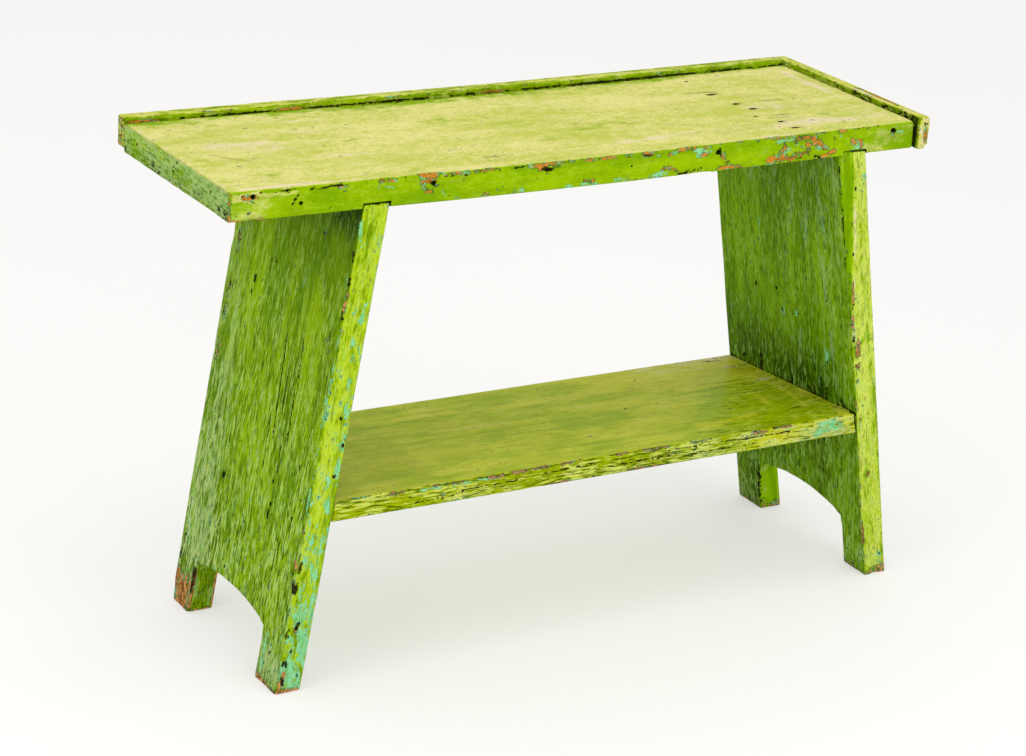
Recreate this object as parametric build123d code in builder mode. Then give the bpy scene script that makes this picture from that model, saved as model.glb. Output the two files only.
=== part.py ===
from build123d import *
from math import atan2, cos, degrees, sin, tan
import os

# Painted bucket bench: a thick plank on two splayed board legs, with a lower shelf between them and
# what is left of a raised rim along the back and the right-hand end. All sizes in millimetres.
# +X runs along the plank to the end with the rim, +Y to the back, +Z up. The origin is on the floor,
# in the middle of the bench's outline.

# --- driving dimensions -------------------------------------------------------------------------
plank_length = 1000.0
plank_depth = 296.0
plank_thickness = 37.0
bench_height = 662.0            # floor to the plank's top face

rim_proud = 7.0                 # both rims stand this far above the plank
back_rim_thickness = 21.0
back_rim_height = 40.0
end_rim_thickness = 17.0
end_rim_height = 44.0
end_rim_overrun = 8.0           # the end rim passes the plank's front face by this much

leg_thickness = 36.0
leg_depth = 306.0               # the leg boards are a little wider than the plank
leg_housing = 4.0               # leg tops are let this far into the plank's underside
left_leg_top = 176.0            # plank's left end to the left leg's outer face, at the underside
left_leg_foot = 87.0            # the same at the floor
right_leg_top = 887.0           # plank's left end to the right leg's inner face, at the underside
right_leg_foot = 1010.0         # the same at the floor

arch_corner_radius = 17.0       # corners of the bootjack cut-outs between the feet
wane_width = 12.5               # tapering flat on the right leg's inner front arris, at its top
wane_length = 261.0             # from the plank's underside down to where the flat runs out

shelf_thickness = 27.5
shelf_front_height = 251.0      # floor to the shelf's top front arris
shelf_back_drop = 21.6          # the shelf slopes down to the back by this much
shelf_housing = 5.0             # shelf ends are let this far into the legs
shelf_housing_stop = 14.0       # the housings stop this far behind the legs' front edges
shelf_left_gap = 0.5            # play in front of each housing's stop
shelf_right_gap = 2.5

worn_arris = 2.0                # rounding of the boards' long arrises
rim_worn_arris = 5.0            # rounding of the rims' outer arrises

nail_head_length = 6.5          # cut nails: flat tapered shank, small oblong head
nail_head_width = 4.5
nail_head_thickness = 1.6
nail_shank_width = 3.6
nail_shank_thickness = 2.6
nail_point_width = 1.4
long_nail = 70.0                # through the plank into the leg tops
shelf_nail = 65.0               # through the legs into the shelf ends
back_rim_nail = 50.0
end_rim_nail = 45.0

# places of the nails, measured back from the plank's front face
left_top_nail_row = (27, 95, 142, 215, 268)
right_top_nail_row = (31, 71, 110, 147, 206, 264)
left_shelf_nail_row = (45, 128, 200, 268)
right_shelf_nail_row = (41, 118, 196, 262)
end_rim_nail_row = (26, 108, 190, 272)
back_rim_nail_first = 55.0      # from the plank's left end
back_rim_nail_pitch = 174.0
back_rim_nail_count = 6

# --- derived sizes ------------------------------------------------------------------------------
underside = bench_height - plank_thickness
leg_top = underside + leg_housing
left_splay = atan2(left_leg_top - left_leg_foot, underside)
right_splay = atan2(right_leg_foot - right_leg_top, underside)
total_length = right_leg_foot + leg_thickness / cos(right_splay)
total_depth = end_rim_overrun + plank_depth + back_rim_thickness
plank_left = -total_length / 2
plank_right = plank_left + plank_length
front = -total_depth / 2 + end_rim_overrun
plank_back = front + plank_depth
rim_top = bench_height + rim_proud
shelf_slope = atan2(shelf_back_drop, leg_depth)
shelf_depth = (leg_depth - shelf_thickness * sin(shelf_slope)) / cos(shelf_slope)
trim_allowance = 30.0           # boards are drawn this much too long and then cut to their lines

# Working plane of each leg board: X runs to the back along the floor, Y up the board. The left one
# lies on the leg's outer face and the right one on its inner face, and both look towards +X.
left_leg_face = Plane(
    origin=(plank_left + left_leg_foot, front, 0),
    x_dir=(0, 1, 0),
    z_dir=(cos(left_splay), 0, -sin(left_splay)),
)
right_leg_face = Plane(
    origin=(plank_left + right_leg_foot, front, 0),
    x_dir=(0, 1, 0),
    z_dir=(cos(right_splay), 0, sin(right_splay)),
)
left_leg_inner = left_leg_face.offset(leg_thickness)

# Working plane of the shelf, on its top face, which slopes down to the back.
shelf_top_face = Plane(
    origin=(0, front + shelf_thickness * sin(shelf_slope), shelf_front_height),
    x_dir=(1, 0, 0),
    z_dir=(0, sin(shelf_slope), cos(shelf_slope)),
)


def cut_nail(length):
    """One cut nail, driven along -Z, with the top of its head at the origin."""
    with BuildPart() as nail:
        with BuildSketch():
            Rectangle(nail_head_length, nail_head_width)
        extrude(amount=-nail_head_thickness)
        with BuildSketch(Plane.XY.offset(-nail_head_thickness)):
            Rectangle(nail_shank_width, nail_shank_thickness)
        with BuildSketch(Plane.XY.offset(-length)):
            Rectangle(nail_point_width, nail_shank_thickness)
        loft()
    return nail.part


def board_with_feet(face, front_foot, back_foot, spring, crown):
    """A leg board on its working plane: its outline, the bootjack cut-out, and its ends to the lines."""
    board_length = leg_top / cos(right_splay) + 2 * trim_allowance
    with BuildPart() as board:
        with BuildSketch(face):
            with Locations((0, -trim_allowance)):
                Rectangle(leg_depth, board_length, align=(Align.MIN, Align.MIN))
        extrude(amount=leg_thickness)
        fillet(board.edges().filter_by(Axis(face.origin, face.y_dir)), worn_arris)
        with BuildSketch(face) as cut_out:
            with BuildLine():
                Line((front_foot, -trim_allowance), (front_foot, spring))
                ThreePointArc((front_foot, spring), (leg_depth / 2, crown), (leg_depth - back_foot, spring))
                Line((leg_depth - back_foot, spring), (leg_depth - back_foot, -trim_allowance))
                Line((leg_depth - back_foot, -trim_allowance), (front_foot, -trim_allowance))
            make_face()
            fillet(cut_out.vertices().group_by(Axis.Z)[-1], arch_corner_radius)
        extrude(amount=leg_thickness, mode=Mode.SUBTRACT)
        split(bisect_by=Plane.XY)
        split(bisect_by=Plane.XY.offset(leg_top), keep=Keep.BOTTOM)
    return board.part


os.makedirs("parts", exist_ok=True)

# --- nails through the plank into the leg tops -----------------------------------------------------
left_leg_middle = plank_left + left_leg_top + leg_thickness / 2
right_leg_middle = plank_left + right_leg_top + leg_thickness / 2
with BuildPart() as left_top_nails:
    with Locations(*[(left_leg_middle, front + y, bench_height) for y in left_top_nail_row]):
        add(cut_nail(long_nail))

with BuildPart() as right_top_nails:
    with Locations(*[(right_leg_middle, front + y, bench_height) for y in right_top_nail_row]):
        add(cut_nail(long_nail))

# --- nails through the legs into the shelf ends ----------------------------------------------------
# Each is driven square to the leg's outer face and meets the middle of the shelf inside its end.
shelf_nail_reach = (leg_thickness + shelf_nail) / 2  # from the nail's head to the middle of its bite


def shelf_middle(y):
    """Height of the shelf's middle at a distance y behind the front."""
    return shelf_front_height - shelf_thickness / 2 / cos(shelf_slope) - y * tan(shelf_slope)


with BuildPart() as left_shelf_nails:
    for y in left_shelf_nail_row:
        up_the_leg = (shelf_middle(y) + shelf_nail_reach * sin(left_splay)) / cos(left_splay)
        head = left_leg_face.from_local_coords((y, up_the_leg, 0))
        with Locations(Plane(origin=head, x_dir=(0, 1, 0), z_dir=-left_leg_face.z_dir)):
            add(cut_nail(shelf_nail))

with BuildPart() as right_shelf_nails:
    for y in right_shelf_nail_row:
        bite = shelf_nail_reach - leg_thickness
        up_the_leg = (shelf_middle(y) + bite * sin(right_splay)) / cos(right_splay)
        head = right_leg_face.from_local_coords((y, up_the_leg, leg_thickness))
        with Locations(Plane(origin=head, x_dir=(0, 1, 0), z_dir=right_leg_face.z_dir)):
            add(cut_nail(shelf_nail))

# --- nails of the two rims -------------------------------------------------------------------------
rim_nail_height = bench_height - plank_thickness / 2
with BuildPart() as back_rim_nails:
    for i in range(back_rim_nail_count):
        x = plank_left + back_rim_nail_first + back_rim_nail_pitch * i
        head = (x, plank_back + back_rim_thickness, rim_nail_height)
        with Locations(Plane(origin=head, x_dir=(1, 0, 0), z_dir=(0, 1, 0))):
            add(cut_nail(back_rim_nail))

with BuildPart() as end_rim_nails:
    for y in (*end_rim_nail_row, plank_depth + back_rim_thickness / 2):
        head = (plank_right + end_rim_thickness, front + y, rim_nail_height)
        with Locations(Plane(origin=head, x_dir=(0, 1, 0), z_dir=(1, 0, 0))):
            add(cut_nail(end_rim_nail))

# --- shelf: one board, ends cut to the legs' splay and let into stopped housings -------------------
with BuildPart() as shelf:
    with BuildSketch(shelf_top_face):
        Rectangle(total_length, shelf_depth, align=(Align.CENTER, Align.MIN))
    extrude(amount=-shelf_thickness)
    fillet(shelf.edges().filter_by(Axis.X), worn_arris)
    split(bisect_by=left_leg_face.offset(leg_thickness - shelf_housing))
    split(bisect_by=right_leg_face.offset(shelf_housing), keep=Keep.BOTTOM)
    # the front corners are notched to clear the ends of the housings
    with BuildSketch(left_leg_inner.offset(shelf_left_gap)):
        with Locations((shelf_housing_stop, shelf_front_height)):
            Rectangle(trim_allowance, 4 * shelf_thickness, align=(Align.MAX, Align.CENTER))
    extrude(amount=-shelf_left_gap - shelf_housing, mode=Mode.SUBTRACT)
    with BuildSketch(right_leg_face.offset(-shelf_right_gap)):
        with Locations((shelf_housing_stop, shelf_front_height)):
            Rectangle(trim_allowance, 4 * shelf_thickness, align=(Align.MAX, Align.CENTER))
    extrude(amount=shelf_right_gap + shelf_housing, mode=Mode.SUBTRACT)
    for let_in in (left_shelf_nails, right_shelf_nails):
        add(let_in.part, mode=Mode.SUBTRACT)

# --- left leg: one wide board, housed under the plank, housing for the shelf in its inner face -----
with BuildPart() as left_leg:
    add(board_with_feet(left_leg_face, front_foot=57, back_foot=51, spring=71, crown=84))
    for let_in in (shelf, left_top_nails, left_shelf_nails):
        add(let_in.part, mode=Mode.SUBTRACT)

# --- right leg: the same, with the waney flat left on its inner front arris ------------------------
wane_on_face = right_leg_face.from_local_coords((wane_width, leg_top / cos(right_splay), 0))
wane_on_edge = right_leg_face.from_local_coords((0, leg_top / cos(right_splay), wane_width))
wane_end = right_leg_face.from_local_coords((0, (underside - wane_length) / cos(right_splay), 0))
wane = Plane(
    origin=wane_end,
    x_dir=wane_on_face - wane_end,
    z_dir=(wane_on_face - wane_end).cross(wane_on_edge - wane_end),
)
with BuildPart() as right_leg:
    add(board_with_feet(right_leg_face, front_foot=50, back_foot=56, spring=76, crown=93))
    split(bisect_by=wane)
    for let_in in (shelf, right_top_nails, right_shelf_nails):
        add(let_in.part, mode=Mode.SUBTRACT)

# --- top plank: one thick board, housed over the leg tops ------------------------------------------
with BuildPart() as top_plank:
    with BuildSketch(Plane.XY.offset(underside)):
        with Locations((plank_left, front)):
            Rectangle(plank_length, plank_depth, align=(Align.MIN, Align.MIN))
    extrude(amount=plank_thickness)
    fillet(top_plank.edges().filter_by(Axis.X).group_by(Axis.Y)[0], worn_arris)
    fillet(top_plank.faces().sort_by(Axis.X)[0].edges().filter_by(Axis.Y), worn_arris)
    for let_in in (left_leg, right_leg, left_top_nails, right_top_nails, back_rim_nails, end_rim_nails):
        add(let_in.part, mode=Mode.SUBTRACT)

# --- back rim: a strip nailed along the plank's back edge, resting on the leg tops -----------------
with BuildPart() as back_rim:
    with BuildSketch(Plane.XY.offset(rim_top)):
        with Locations((plank_left, plank_back)):
            Rectangle(plank_length, back_rim_thickness, align=(Align.MIN, Align.MIN))
    extrude(amount=-back_rim_height)
    fillet(back_rim.edges().filter_by(Axis.X).group_by(Axis.Y)[-1], rim_worn_arris)
    for let_in in (back_rim_nails, end_rim_nails):
        add(let_in.part, mode=Mode.SUBTRACT)

# --- end rim: a strip nailed across the plank's right end, lapping the back rim's end ---------------
with BuildPart() as end_rim:
    with BuildSketch(Plane.XY.offset(rim_top)):
        with Locations((plank_right, front - end_rim_overrun)):
            Rectangle(end_rim_thickness, total_depth, align=(Align.MIN, Align.MIN))
    extrude(amount=-end_rim_height)
    fillet(end_rim.edges().filter_by(Axis.Y).group_by(Axis.X)[-1], rim_worn_arris)
    add(end_rim_nails.part, mode=Mode.SUBTRACT)

# --- labels and files ------------------------------------------------------------------------------
pieces = {
    "top_plank": top_plank,
    "back_rim": back_rim,
    "end_rim": end_rim,
    "left_leg": left_leg,
    "right_leg": right_leg,
    "shelf": shelf,
    "left_top_nails": left_top_nails,
    "right_top_nails": right_top_nails,
    "left_shelf_nails": left_shelf_nails,
    "right_shelf_nails": right_shelf_nails,
    "back_rim_nails": back_rim_nails,
    "end_rim_nails": end_rim_nails,
}
for name, piece in pieces.items():
    piece.part.label = name
    export_step(piece.part, f"parts/{name}.step")

print(f"overall {total_length:.1f} x {total_depth:.1f} x {rim_top:.1f}")
print(f"splay: left {degrees(left_splay):.1f}, right {degrees(right_splay):.1f} degrees")
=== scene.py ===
import math

import bmesh
import bpy
import numpy as np
from mathutils import Matrix


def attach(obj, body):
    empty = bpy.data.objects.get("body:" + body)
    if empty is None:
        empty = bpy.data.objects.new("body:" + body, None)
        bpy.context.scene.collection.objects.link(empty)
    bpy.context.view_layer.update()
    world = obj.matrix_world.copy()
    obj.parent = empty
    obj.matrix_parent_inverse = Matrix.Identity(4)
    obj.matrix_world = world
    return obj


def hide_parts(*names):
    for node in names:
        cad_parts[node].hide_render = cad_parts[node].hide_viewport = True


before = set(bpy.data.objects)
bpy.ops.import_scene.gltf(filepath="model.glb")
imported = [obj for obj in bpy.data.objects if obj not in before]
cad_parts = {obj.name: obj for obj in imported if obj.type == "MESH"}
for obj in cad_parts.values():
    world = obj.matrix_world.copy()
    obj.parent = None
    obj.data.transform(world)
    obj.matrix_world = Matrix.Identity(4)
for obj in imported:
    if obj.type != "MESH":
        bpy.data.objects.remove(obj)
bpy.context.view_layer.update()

# ---------------------------------------------------------------- left leg
# A single wide board standing splayed under the plank, its foot cut with a bootjack.
# Lime-green paint over turquoise, weathered along the grain and bare where the feet wear.
# Each board is worked out in its own millimetres: u along the grain, v across, w through it.

PLANK_LEFT = -523.35
PLANK_FRONT = -154.5
PLANK_TOP = 662.0
LEG_TOP = 629.0
LEG_DEPTH = 306.0
LEG_THICK = 36.0
LEG_GRID_TOP = 630
SPLAY_RISE = 625
LEFT_FOOT = 87
LEFT_SPLAY = 89
ARCH_CORNER = 17.0
WANE_FOOT = 364
WANE_SLOPE = (1.05, 0.78)
WANE_SLOPE_LENGTH = 1.308


def ruled(stops, steps):
    """Grid lines along a board: from each stop to the next, about a step apart."""
    lines = [np.array(stops[:1])]
    for start, end, step in zip(stops, stops[1:], steps):
        count = max(1, round((end - start) / step))
        lines.append(np.linspace(start, end, count + 1)[1:])
    return np.concatenate(lines)


def skin(solid):
    """The nodes and outward quads round the solid cells of a lattice."""
    filled = np.pad(solid, 1).astype(int)
    size = np.array(solid.shape) + 1
    unit = np.eye(3, dtype=int)
    quads = []
    for axis in range(3):
        along, across = unit[(axis + 1) % 3], unit[(axis + 2) % 3]
        change = np.diff(filled, axis=axis)
        for sign in (1, -1):
            base = np.argwhere(change == sign) - along - across
            ring = [base, base + along, base + along + across, base + across]
            if sign == 1:
                ring.reverse()
            quads.append(np.stack([np.ravel_multi_index(r.T, size) for r in ring], 1))
    quads = np.concatenate(quads)
    used, renumbered = np.unique(quads, return_inverse=True)
    return np.stack(np.unravel_index(used, size), 1), renumbered.reshape(-1, 4)


HASH_PRIMES = (73856093, 19349663, 83492791)
SEED_PRIME = 26544357
STIR_PRIMES = (1274126177, 73244475)
LOW_32_BITS = 0xFFFFFFFF
LOW_16_BITS = 0xFFFF


def drift(points, size, seed):
    """Smooth random values from -1 to 1, in blotches of about this size."""
    place = points / np.array(size, float) + 50.0 + 7.3 * seed
    corner = np.floor(place).astype(np.int64)
    part = place - corner
    part = part * part * (3 - 2 * part)
    total = np.zeros(len(place))
    for step in np.ndindex(2, 2, 2):
        cell = corner + step
        keyed = cell * np.array(HASH_PRIMES)
        mixed = keyed[:, 0] ^ keyed[:, 1] ^ keyed[:, 2]
        mixed = (mixed + seed * SEED_PRIME) * STIR_PRIMES[0] & LOW_32_BITS
        mixed = (mixed ^ mixed >> 15) * STIR_PRIMES[1] & LOW_32_BITS
        value = (mixed ^ mixed >> 13 & LOW_16_BITS) & LOW_16_BITS
        share = np.prod(np.where(step, part, 1 - part), 1)
        total += (value * 2 / LOW_16_BITS - 1) * share
    return total


def eased(faces, radius):
    """Distance to the solid inside all these faces, its arrises worn to a radius."""
    beyond = faces + radius
    outside = np.sqrt((np.maximum(beyond, 0) ** 2).sum(0))
    return outside + np.minimum(beyond.max(0), 0) - radius


ARRIS_WAVES = (55, 14, 14)
FACE_WAVES = (130, 34, 34)
BITE_WAVES = (9, 5, 5)
SETTLING_ROUNDS = 4


def weathered(points, faces, radius, bites, wave, seed):
    """Settles a board's grid on its worn shape: eased arrises, slight waves, and bites
    out of it, each given by its centre, half sizes and seed."""
    ease = radius * (1 + 0.4 * drift(points, ARRIS_WAVES, seed))
    hollow = wave * (0.5 + 0.5 * drift(points, FACE_WAVES, seed + 1))
    near = []
    for centre, half, bite_seed in bites:
        centre, half = np.array(centre, float), np.array(half, float)
        sides = eased(faces(np.concatenate([centre + np.eye(3), centre - np.eye(3)])), 3.0)
        outward = sides[:3] - sides[3:]
        centre += 0.4 * half.min() * outward / np.linalg.norm(outward)
        close = np.flatnonzero((np.abs(points - centre) < 1.6 * half + 3).all(1))
        ragged = 1 + 0.25 * drift(points[close], BITE_WAVES, bite_seed)
        near.append((close, centre, half, ragged))

    def distance(p):
        gap = eased(faces(p), ease) + hollow
        for close, centre, half, ragged in near:
            apart = np.linalg.norm((p[close] - centre) / half, axis=1)
            gap[close] = np.maximum(gap[close], (ragged - apart) * half.min())
        return gap

    for _ in range(SETTLING_ROUNDS):
        here = distance(points)
        slope = []
        for step in 0.05 * np.eye(3):
            slope.append((distance(points + step) - distance(points - step)) / 0.1)
        slope = np.stack(slope, 1)
        steep = np.maximum((slope**2).sum(1), 0.3)
        points = points - slope * (here / steep)[:, None]
    return points


def pit(at, inward, size, depth, seed, sides=9):
    """Cutter for an old nail hole or a dent: a ragged funnel, longer along the grain."""
    inward = np.array(inward, float)
    grain = np.array([0, 1.0, 0]) if abs(inward[0]) > 0.5 else np.array([1.0, 0, 0])
    across = np.cross(inward, grain)
    turn = np.arange(sides)[:, None] * math.tau / sides
    rough = np.random.default_rng(seed).uniform(0.75, 1.2, (sides, 1))
    ring = rough * (np.cos(turn) * size[0] * grain + np.sin(turn) * size[1] * across) / 2
    rings = []
    for level, spread in ((-2.0, 1.15), (0.3 * depth, 0.9), (depth, 0.5)):
        rings.append(np.array(at, float) + inward * level + ring * spread)
    faces = [tuple(range(sides - 1, -1, -1)), tuple(range(2 * sides, 3 * sides))]
    for low in (0, sides):
        for i in range(sides):
            j = (i + 1) % sides
            faces.append((low + i, low + j, low + sides + j, low + sides + i))
    return np.concatenate(rings), faces


def split(start, end, inward, width, depth, seed):
    """Cutter for a drying crack or scratch: a thin wedge that wanders along the grain."""
    start, end = np.array(start, float), np.array(end, float)
    inward = np.array(inward, float)
    along = (end - start) / np.linalg.norm(end - start)
    across = np.cross(inward, along)
    count = max(4, round(np.linalg.norm(end - start) / 9))
    wander = np.random.default_rng(seed).uniform(-0.9, 0.9, count + 1)
    points, faces = [], []
    for i in range(count + 1):
        share = i / count
        swell = 0.12 + 0.88 * math.sin(math.pi * share)
        middle = start + (end - start) * share + across * wander[i]
        half = across * width / 2 * swell
        points += [middle - half - inward, middle + half - inward]
        points += [middle + inward * depth * swell]
    for i in range(count):
        a, b = 3 * i, 3 * i + 3
        faces += [(a, a + 1, b + 1, b), (a + 1, a + 2, b + 2, b + 1), (a + 2, a, b, b + 2)]
    faces += [(2, 1, 0), (3 * count, 3 * count + 1, 3 * count + 2)]
    return np.array(points), faces


def mesh_of(name, points, faces):
    """A closed mesh from these points and faces, its normals facing outwards."""
    mesh = bpy.data.meshes.new(name)
    mesh.from_pydata([tuple(p) for p in points], [], [tuple(f) for f in faces])
    build = bmesh.new()
    build.from_mesh(mesh)
    bmesh.ops.recalc_face_normals(build, faces=build.faces)
    build.to_mesh(mesh)
    build.free()
    return mesh


def carved(name, points, quads, cutters):
    """The board's mesh with the cutters' shapes taken out of it. The faces of a cut are
    left with material index 1."""
    board = bpy.data.objects.new(name, mesh_of(name, points, quads))
    bpy.context.collection.objects.link(board)
    tool_points, tool_faces, count = [], [], 0
    for shape, faces in cutters:
        tool_points.append(shape)
        tool_faces += [tuple(i + count for i in face) for face in faces]
        count += len(shape)
    tools = mesh_of(name + "_cutters", np.concatenate(tool_points), tool_faces)
    for mesh in (board.data, tools):
        mesh.materials.append(None)
        mesh.materials.append(None)
    tools.polygons.foreach_set("material_index", np.ones(len(tools.polygons), np.int32))
    tools = bpy.data.objects.new(name + "_cutters", tools)
    bpy.context.collection.objects.link(tools)
    cut = board.modifiers.new("cut", "BOOLEAN")
    cut.operation = "DIFFERENCE"
    cut.solver = "EXACT"
    cut.object = tools
    ready = board.evaluated_get(bpy.context.evaluated_depsgraph_get())
    mesh = bpy.data.meshes.new_from_object(ready)
    bpy.data.objects.remove(board)
    bpy.data.objects.remove(tools)
    return mesh


def held(values):
    """Values held between 0 and 1."""
    return np.clip(values, 0, 1)


def touched(points, strokes):
    """How near points are to strokes of wear: 1 on a stroke's line and 0.5 at its radius."""
    best = np.zeros(len(points))
    for start, end, radius in strokes:
        start = np.array(start, float)
        along = np.array(end, float) - start
        share = held((points - start) @ along / max(along @ along, 1e-9))
        gap = np.linalg.norm(points - start - share[:, None] * along, axis=1)
        best = np.maximum(best, 1 - gap / (2 * radius))
    return best


def on_face(axis, depth, rows):
    """Strokes on one face of a board: from, to and radius in that face's two directions."""
    strokes = []
    for row in rows:
        start, end = list(row[0:2]), list(row[2:4])
        start.insert(axis, depth)
        end.insert(axis, depth)
        strokes.append((start, end, row[4]))
    return strokes


def marked(points, axis, depth, rows):
    """How near points are to strokes of wear on one face."""
    return touched(points, on_face(axis, depth, rows))


def arris(faces):
    """Distance from each point to the nearest arris, in millimetres."""
    return -np.sort(faces, axis=0)[-2]


def piece_of(name, mesh, to_world, wear, material, node):
    """Stores a board's wear on its mesh, sets it in the bench and stands it for its node."""
    count = len(mesh.vertices)
    points = np.empty(count * 3)
    mesh.vertices.foreach_get("co", points)
    points = points.reshape(-1, 3)
    layers = wear(points)
    brushed = layers.pop("board", points)
    board = mesh.attributes.new("board", "FLOAT_VECTOR", "POINT")
    board.data.foreach_set("vector", (brushed / 1000).astype(np.float32).ravel())
    for layer, values in layers.items():
        stored = mesh.attributes.new(layer, "FLOAT", "POINT")
        stored.data.foreach_set("value", np.clip(values, 0, 2).astype(np.float32))
    cut = np.empty(len(mesh.polygons), np.int32)
    mesh.polygons.foreach_get("material_index", cut)
    hollow = mesh.attributes.new("hollow", "FLOAT", "FACE")
    hollow.data.foreach_set("value", cut.astype(np.float32))
    mesh.polygons.foreach_set("material_index", np.zeros(len(cut), np.int32))
    mesh.vertices.foreach_set("co", (to_world(points) / 1000).astype(np.float32).ravel())
    build = bmesh.new()
    build.from_mesh(mesh)
    bmesh.ops.recalc_face_normals(build, faces=build.faces)
    build.to_mesh(mesh)
    build.free()
    mesh.shade_smooth()
    mesh.set_sharp_from_angle(angle=math.radians(40))
    mesh.materials.clear()
    mesh.materials.append(material)
    piece = bpy.data.objects.new(name, mesh)
    bpy.context.collection.objects.link(piece)
    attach(piece, "root")
    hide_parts(node)
    return piece


OCTAVE_SPREAD = 0.132


class Shade:
    """An output of a material's nodes, so that sums on it are written out as sums."""

    def __init__(self, tree, socket=None):
        self.tree = tree
        self.socket = socket

    def node(self, kind, settings=None, inputs=None, output=0):
        """Adds a node: first its settings, then the values or links of its sockets."""
        shared = kind.startswith(("Geometry", "Function", "Node"))
        made = self.tree.nodes.new(kind if shared else "ShaderNode" + kind)
        for name, value in (settings or {}).items():
            setattr(made, name, value)
        for name, value in (inputs or {}).items():
            if isinstance(value, Shade):
                self.tree.links.new(value.socket, made.inputs[name])
            else:
                made.inputs[name].default_value = value
        return Shade(self.tree, made.outputs[output]) if made.outputs else None

    def worked(self, operation, first, second):
        """One step of arithmetic, by the operation's name."""
        return self.node("Math", {"operation": operation}, {0: first, 1: second})

    def __add__(self, other):
        return self.worked("ADD", self, other)

    __radd__ = __add__

    def __sub__(self, other):
        return self.worked("SUBTRACT", self, other)

    def __rsub__(self, other):
        return self.worked("SUBTRACT", other, self)

    def __mul__(self, other):
        return self.worked("MULTIPLY", self, other)

    __rmul__ = __mul__

    def over(self, other):
        """The greater of the two."""
        return self.worked("MAXIMUM", self, other)

    def apart(self, other):
        """How far the two are from each other."""
        return self.worked("ABSOLUTE", self - other, 0.0)

    def between(self, low, high):
        """0 below low, 1 above high, and smooth between them."""
        span = {"Value": self, "From Min": low, "From Max": high}
        return self.node("MapRange", {"interpolation_type": "SMOOTHSTEP"}, span)

    def blend(self, first, second):
        """The first colour where this is 0, and the second where it is 1."""
        return self.node("Mix", {"data_type": "RGBA"}, {0: self, 6: first, 7: second}, 2)

    def noise(self, along, across, detail, rough, shift, output="Fac"):
        """Noise in the board's own space, with a grain this long and this wide in metres."""
        scale = (1 / along, 1 / across, 1 / across)
        moved = {"Vector": self, "Scale": scale, "Location": (shift, 2 * shift, shift)}
        place = self.node("Mapping", {}, moved)
        sizes = {"Vector": place, "Scale": 1.0, "Detail": detail, "Roughness": rough}
        return self.node("TexNoise", {}, sizes, output)

    def figure(self, along, across, detail=2, rough=0.5, shift=0.0):
        """The same noise evened out, to a mean of 0 and a spread of 1."""
        weights = rough ** np.arange(detail + 1)
        spread = OCTAVE_SPREAD * np.linalg.norm(weights) / weights.sum()
        return (self.noise(along, across, detail, rough, shift) - 0.5) * float(1 / spread)


def tint(red, green, blue):
    """A colour given in 0 to 255, as the linear colour that nodes take."""
    linear = []
    for part in (red, green, blue):
        part = part / 255
        linear.append(part / 12.92 if part <= 0.04045 else ((part + 0.055) / 1.055) ** 2.4)
    return (*linear, 1.0)


TURQUOISE = tint(138, 210, 152)
DULL_TURQUOISE = tint(108, 184, 110)
MIST = tint(144, 186, 118)
PALE_MIST = tint(178, 196, 122)
ORANGE_WOOD = tint(206, 134, 40)
BROWN_WOOD = tint(108, 66, 10)
CREAM = tint(230, 214, 176)
DARK_GREEN = tint(36, 64, 0)
# Near black, for dirt and for painted shade.
GRIME_AND_SHADE = tint(26, 24, 8)


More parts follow.
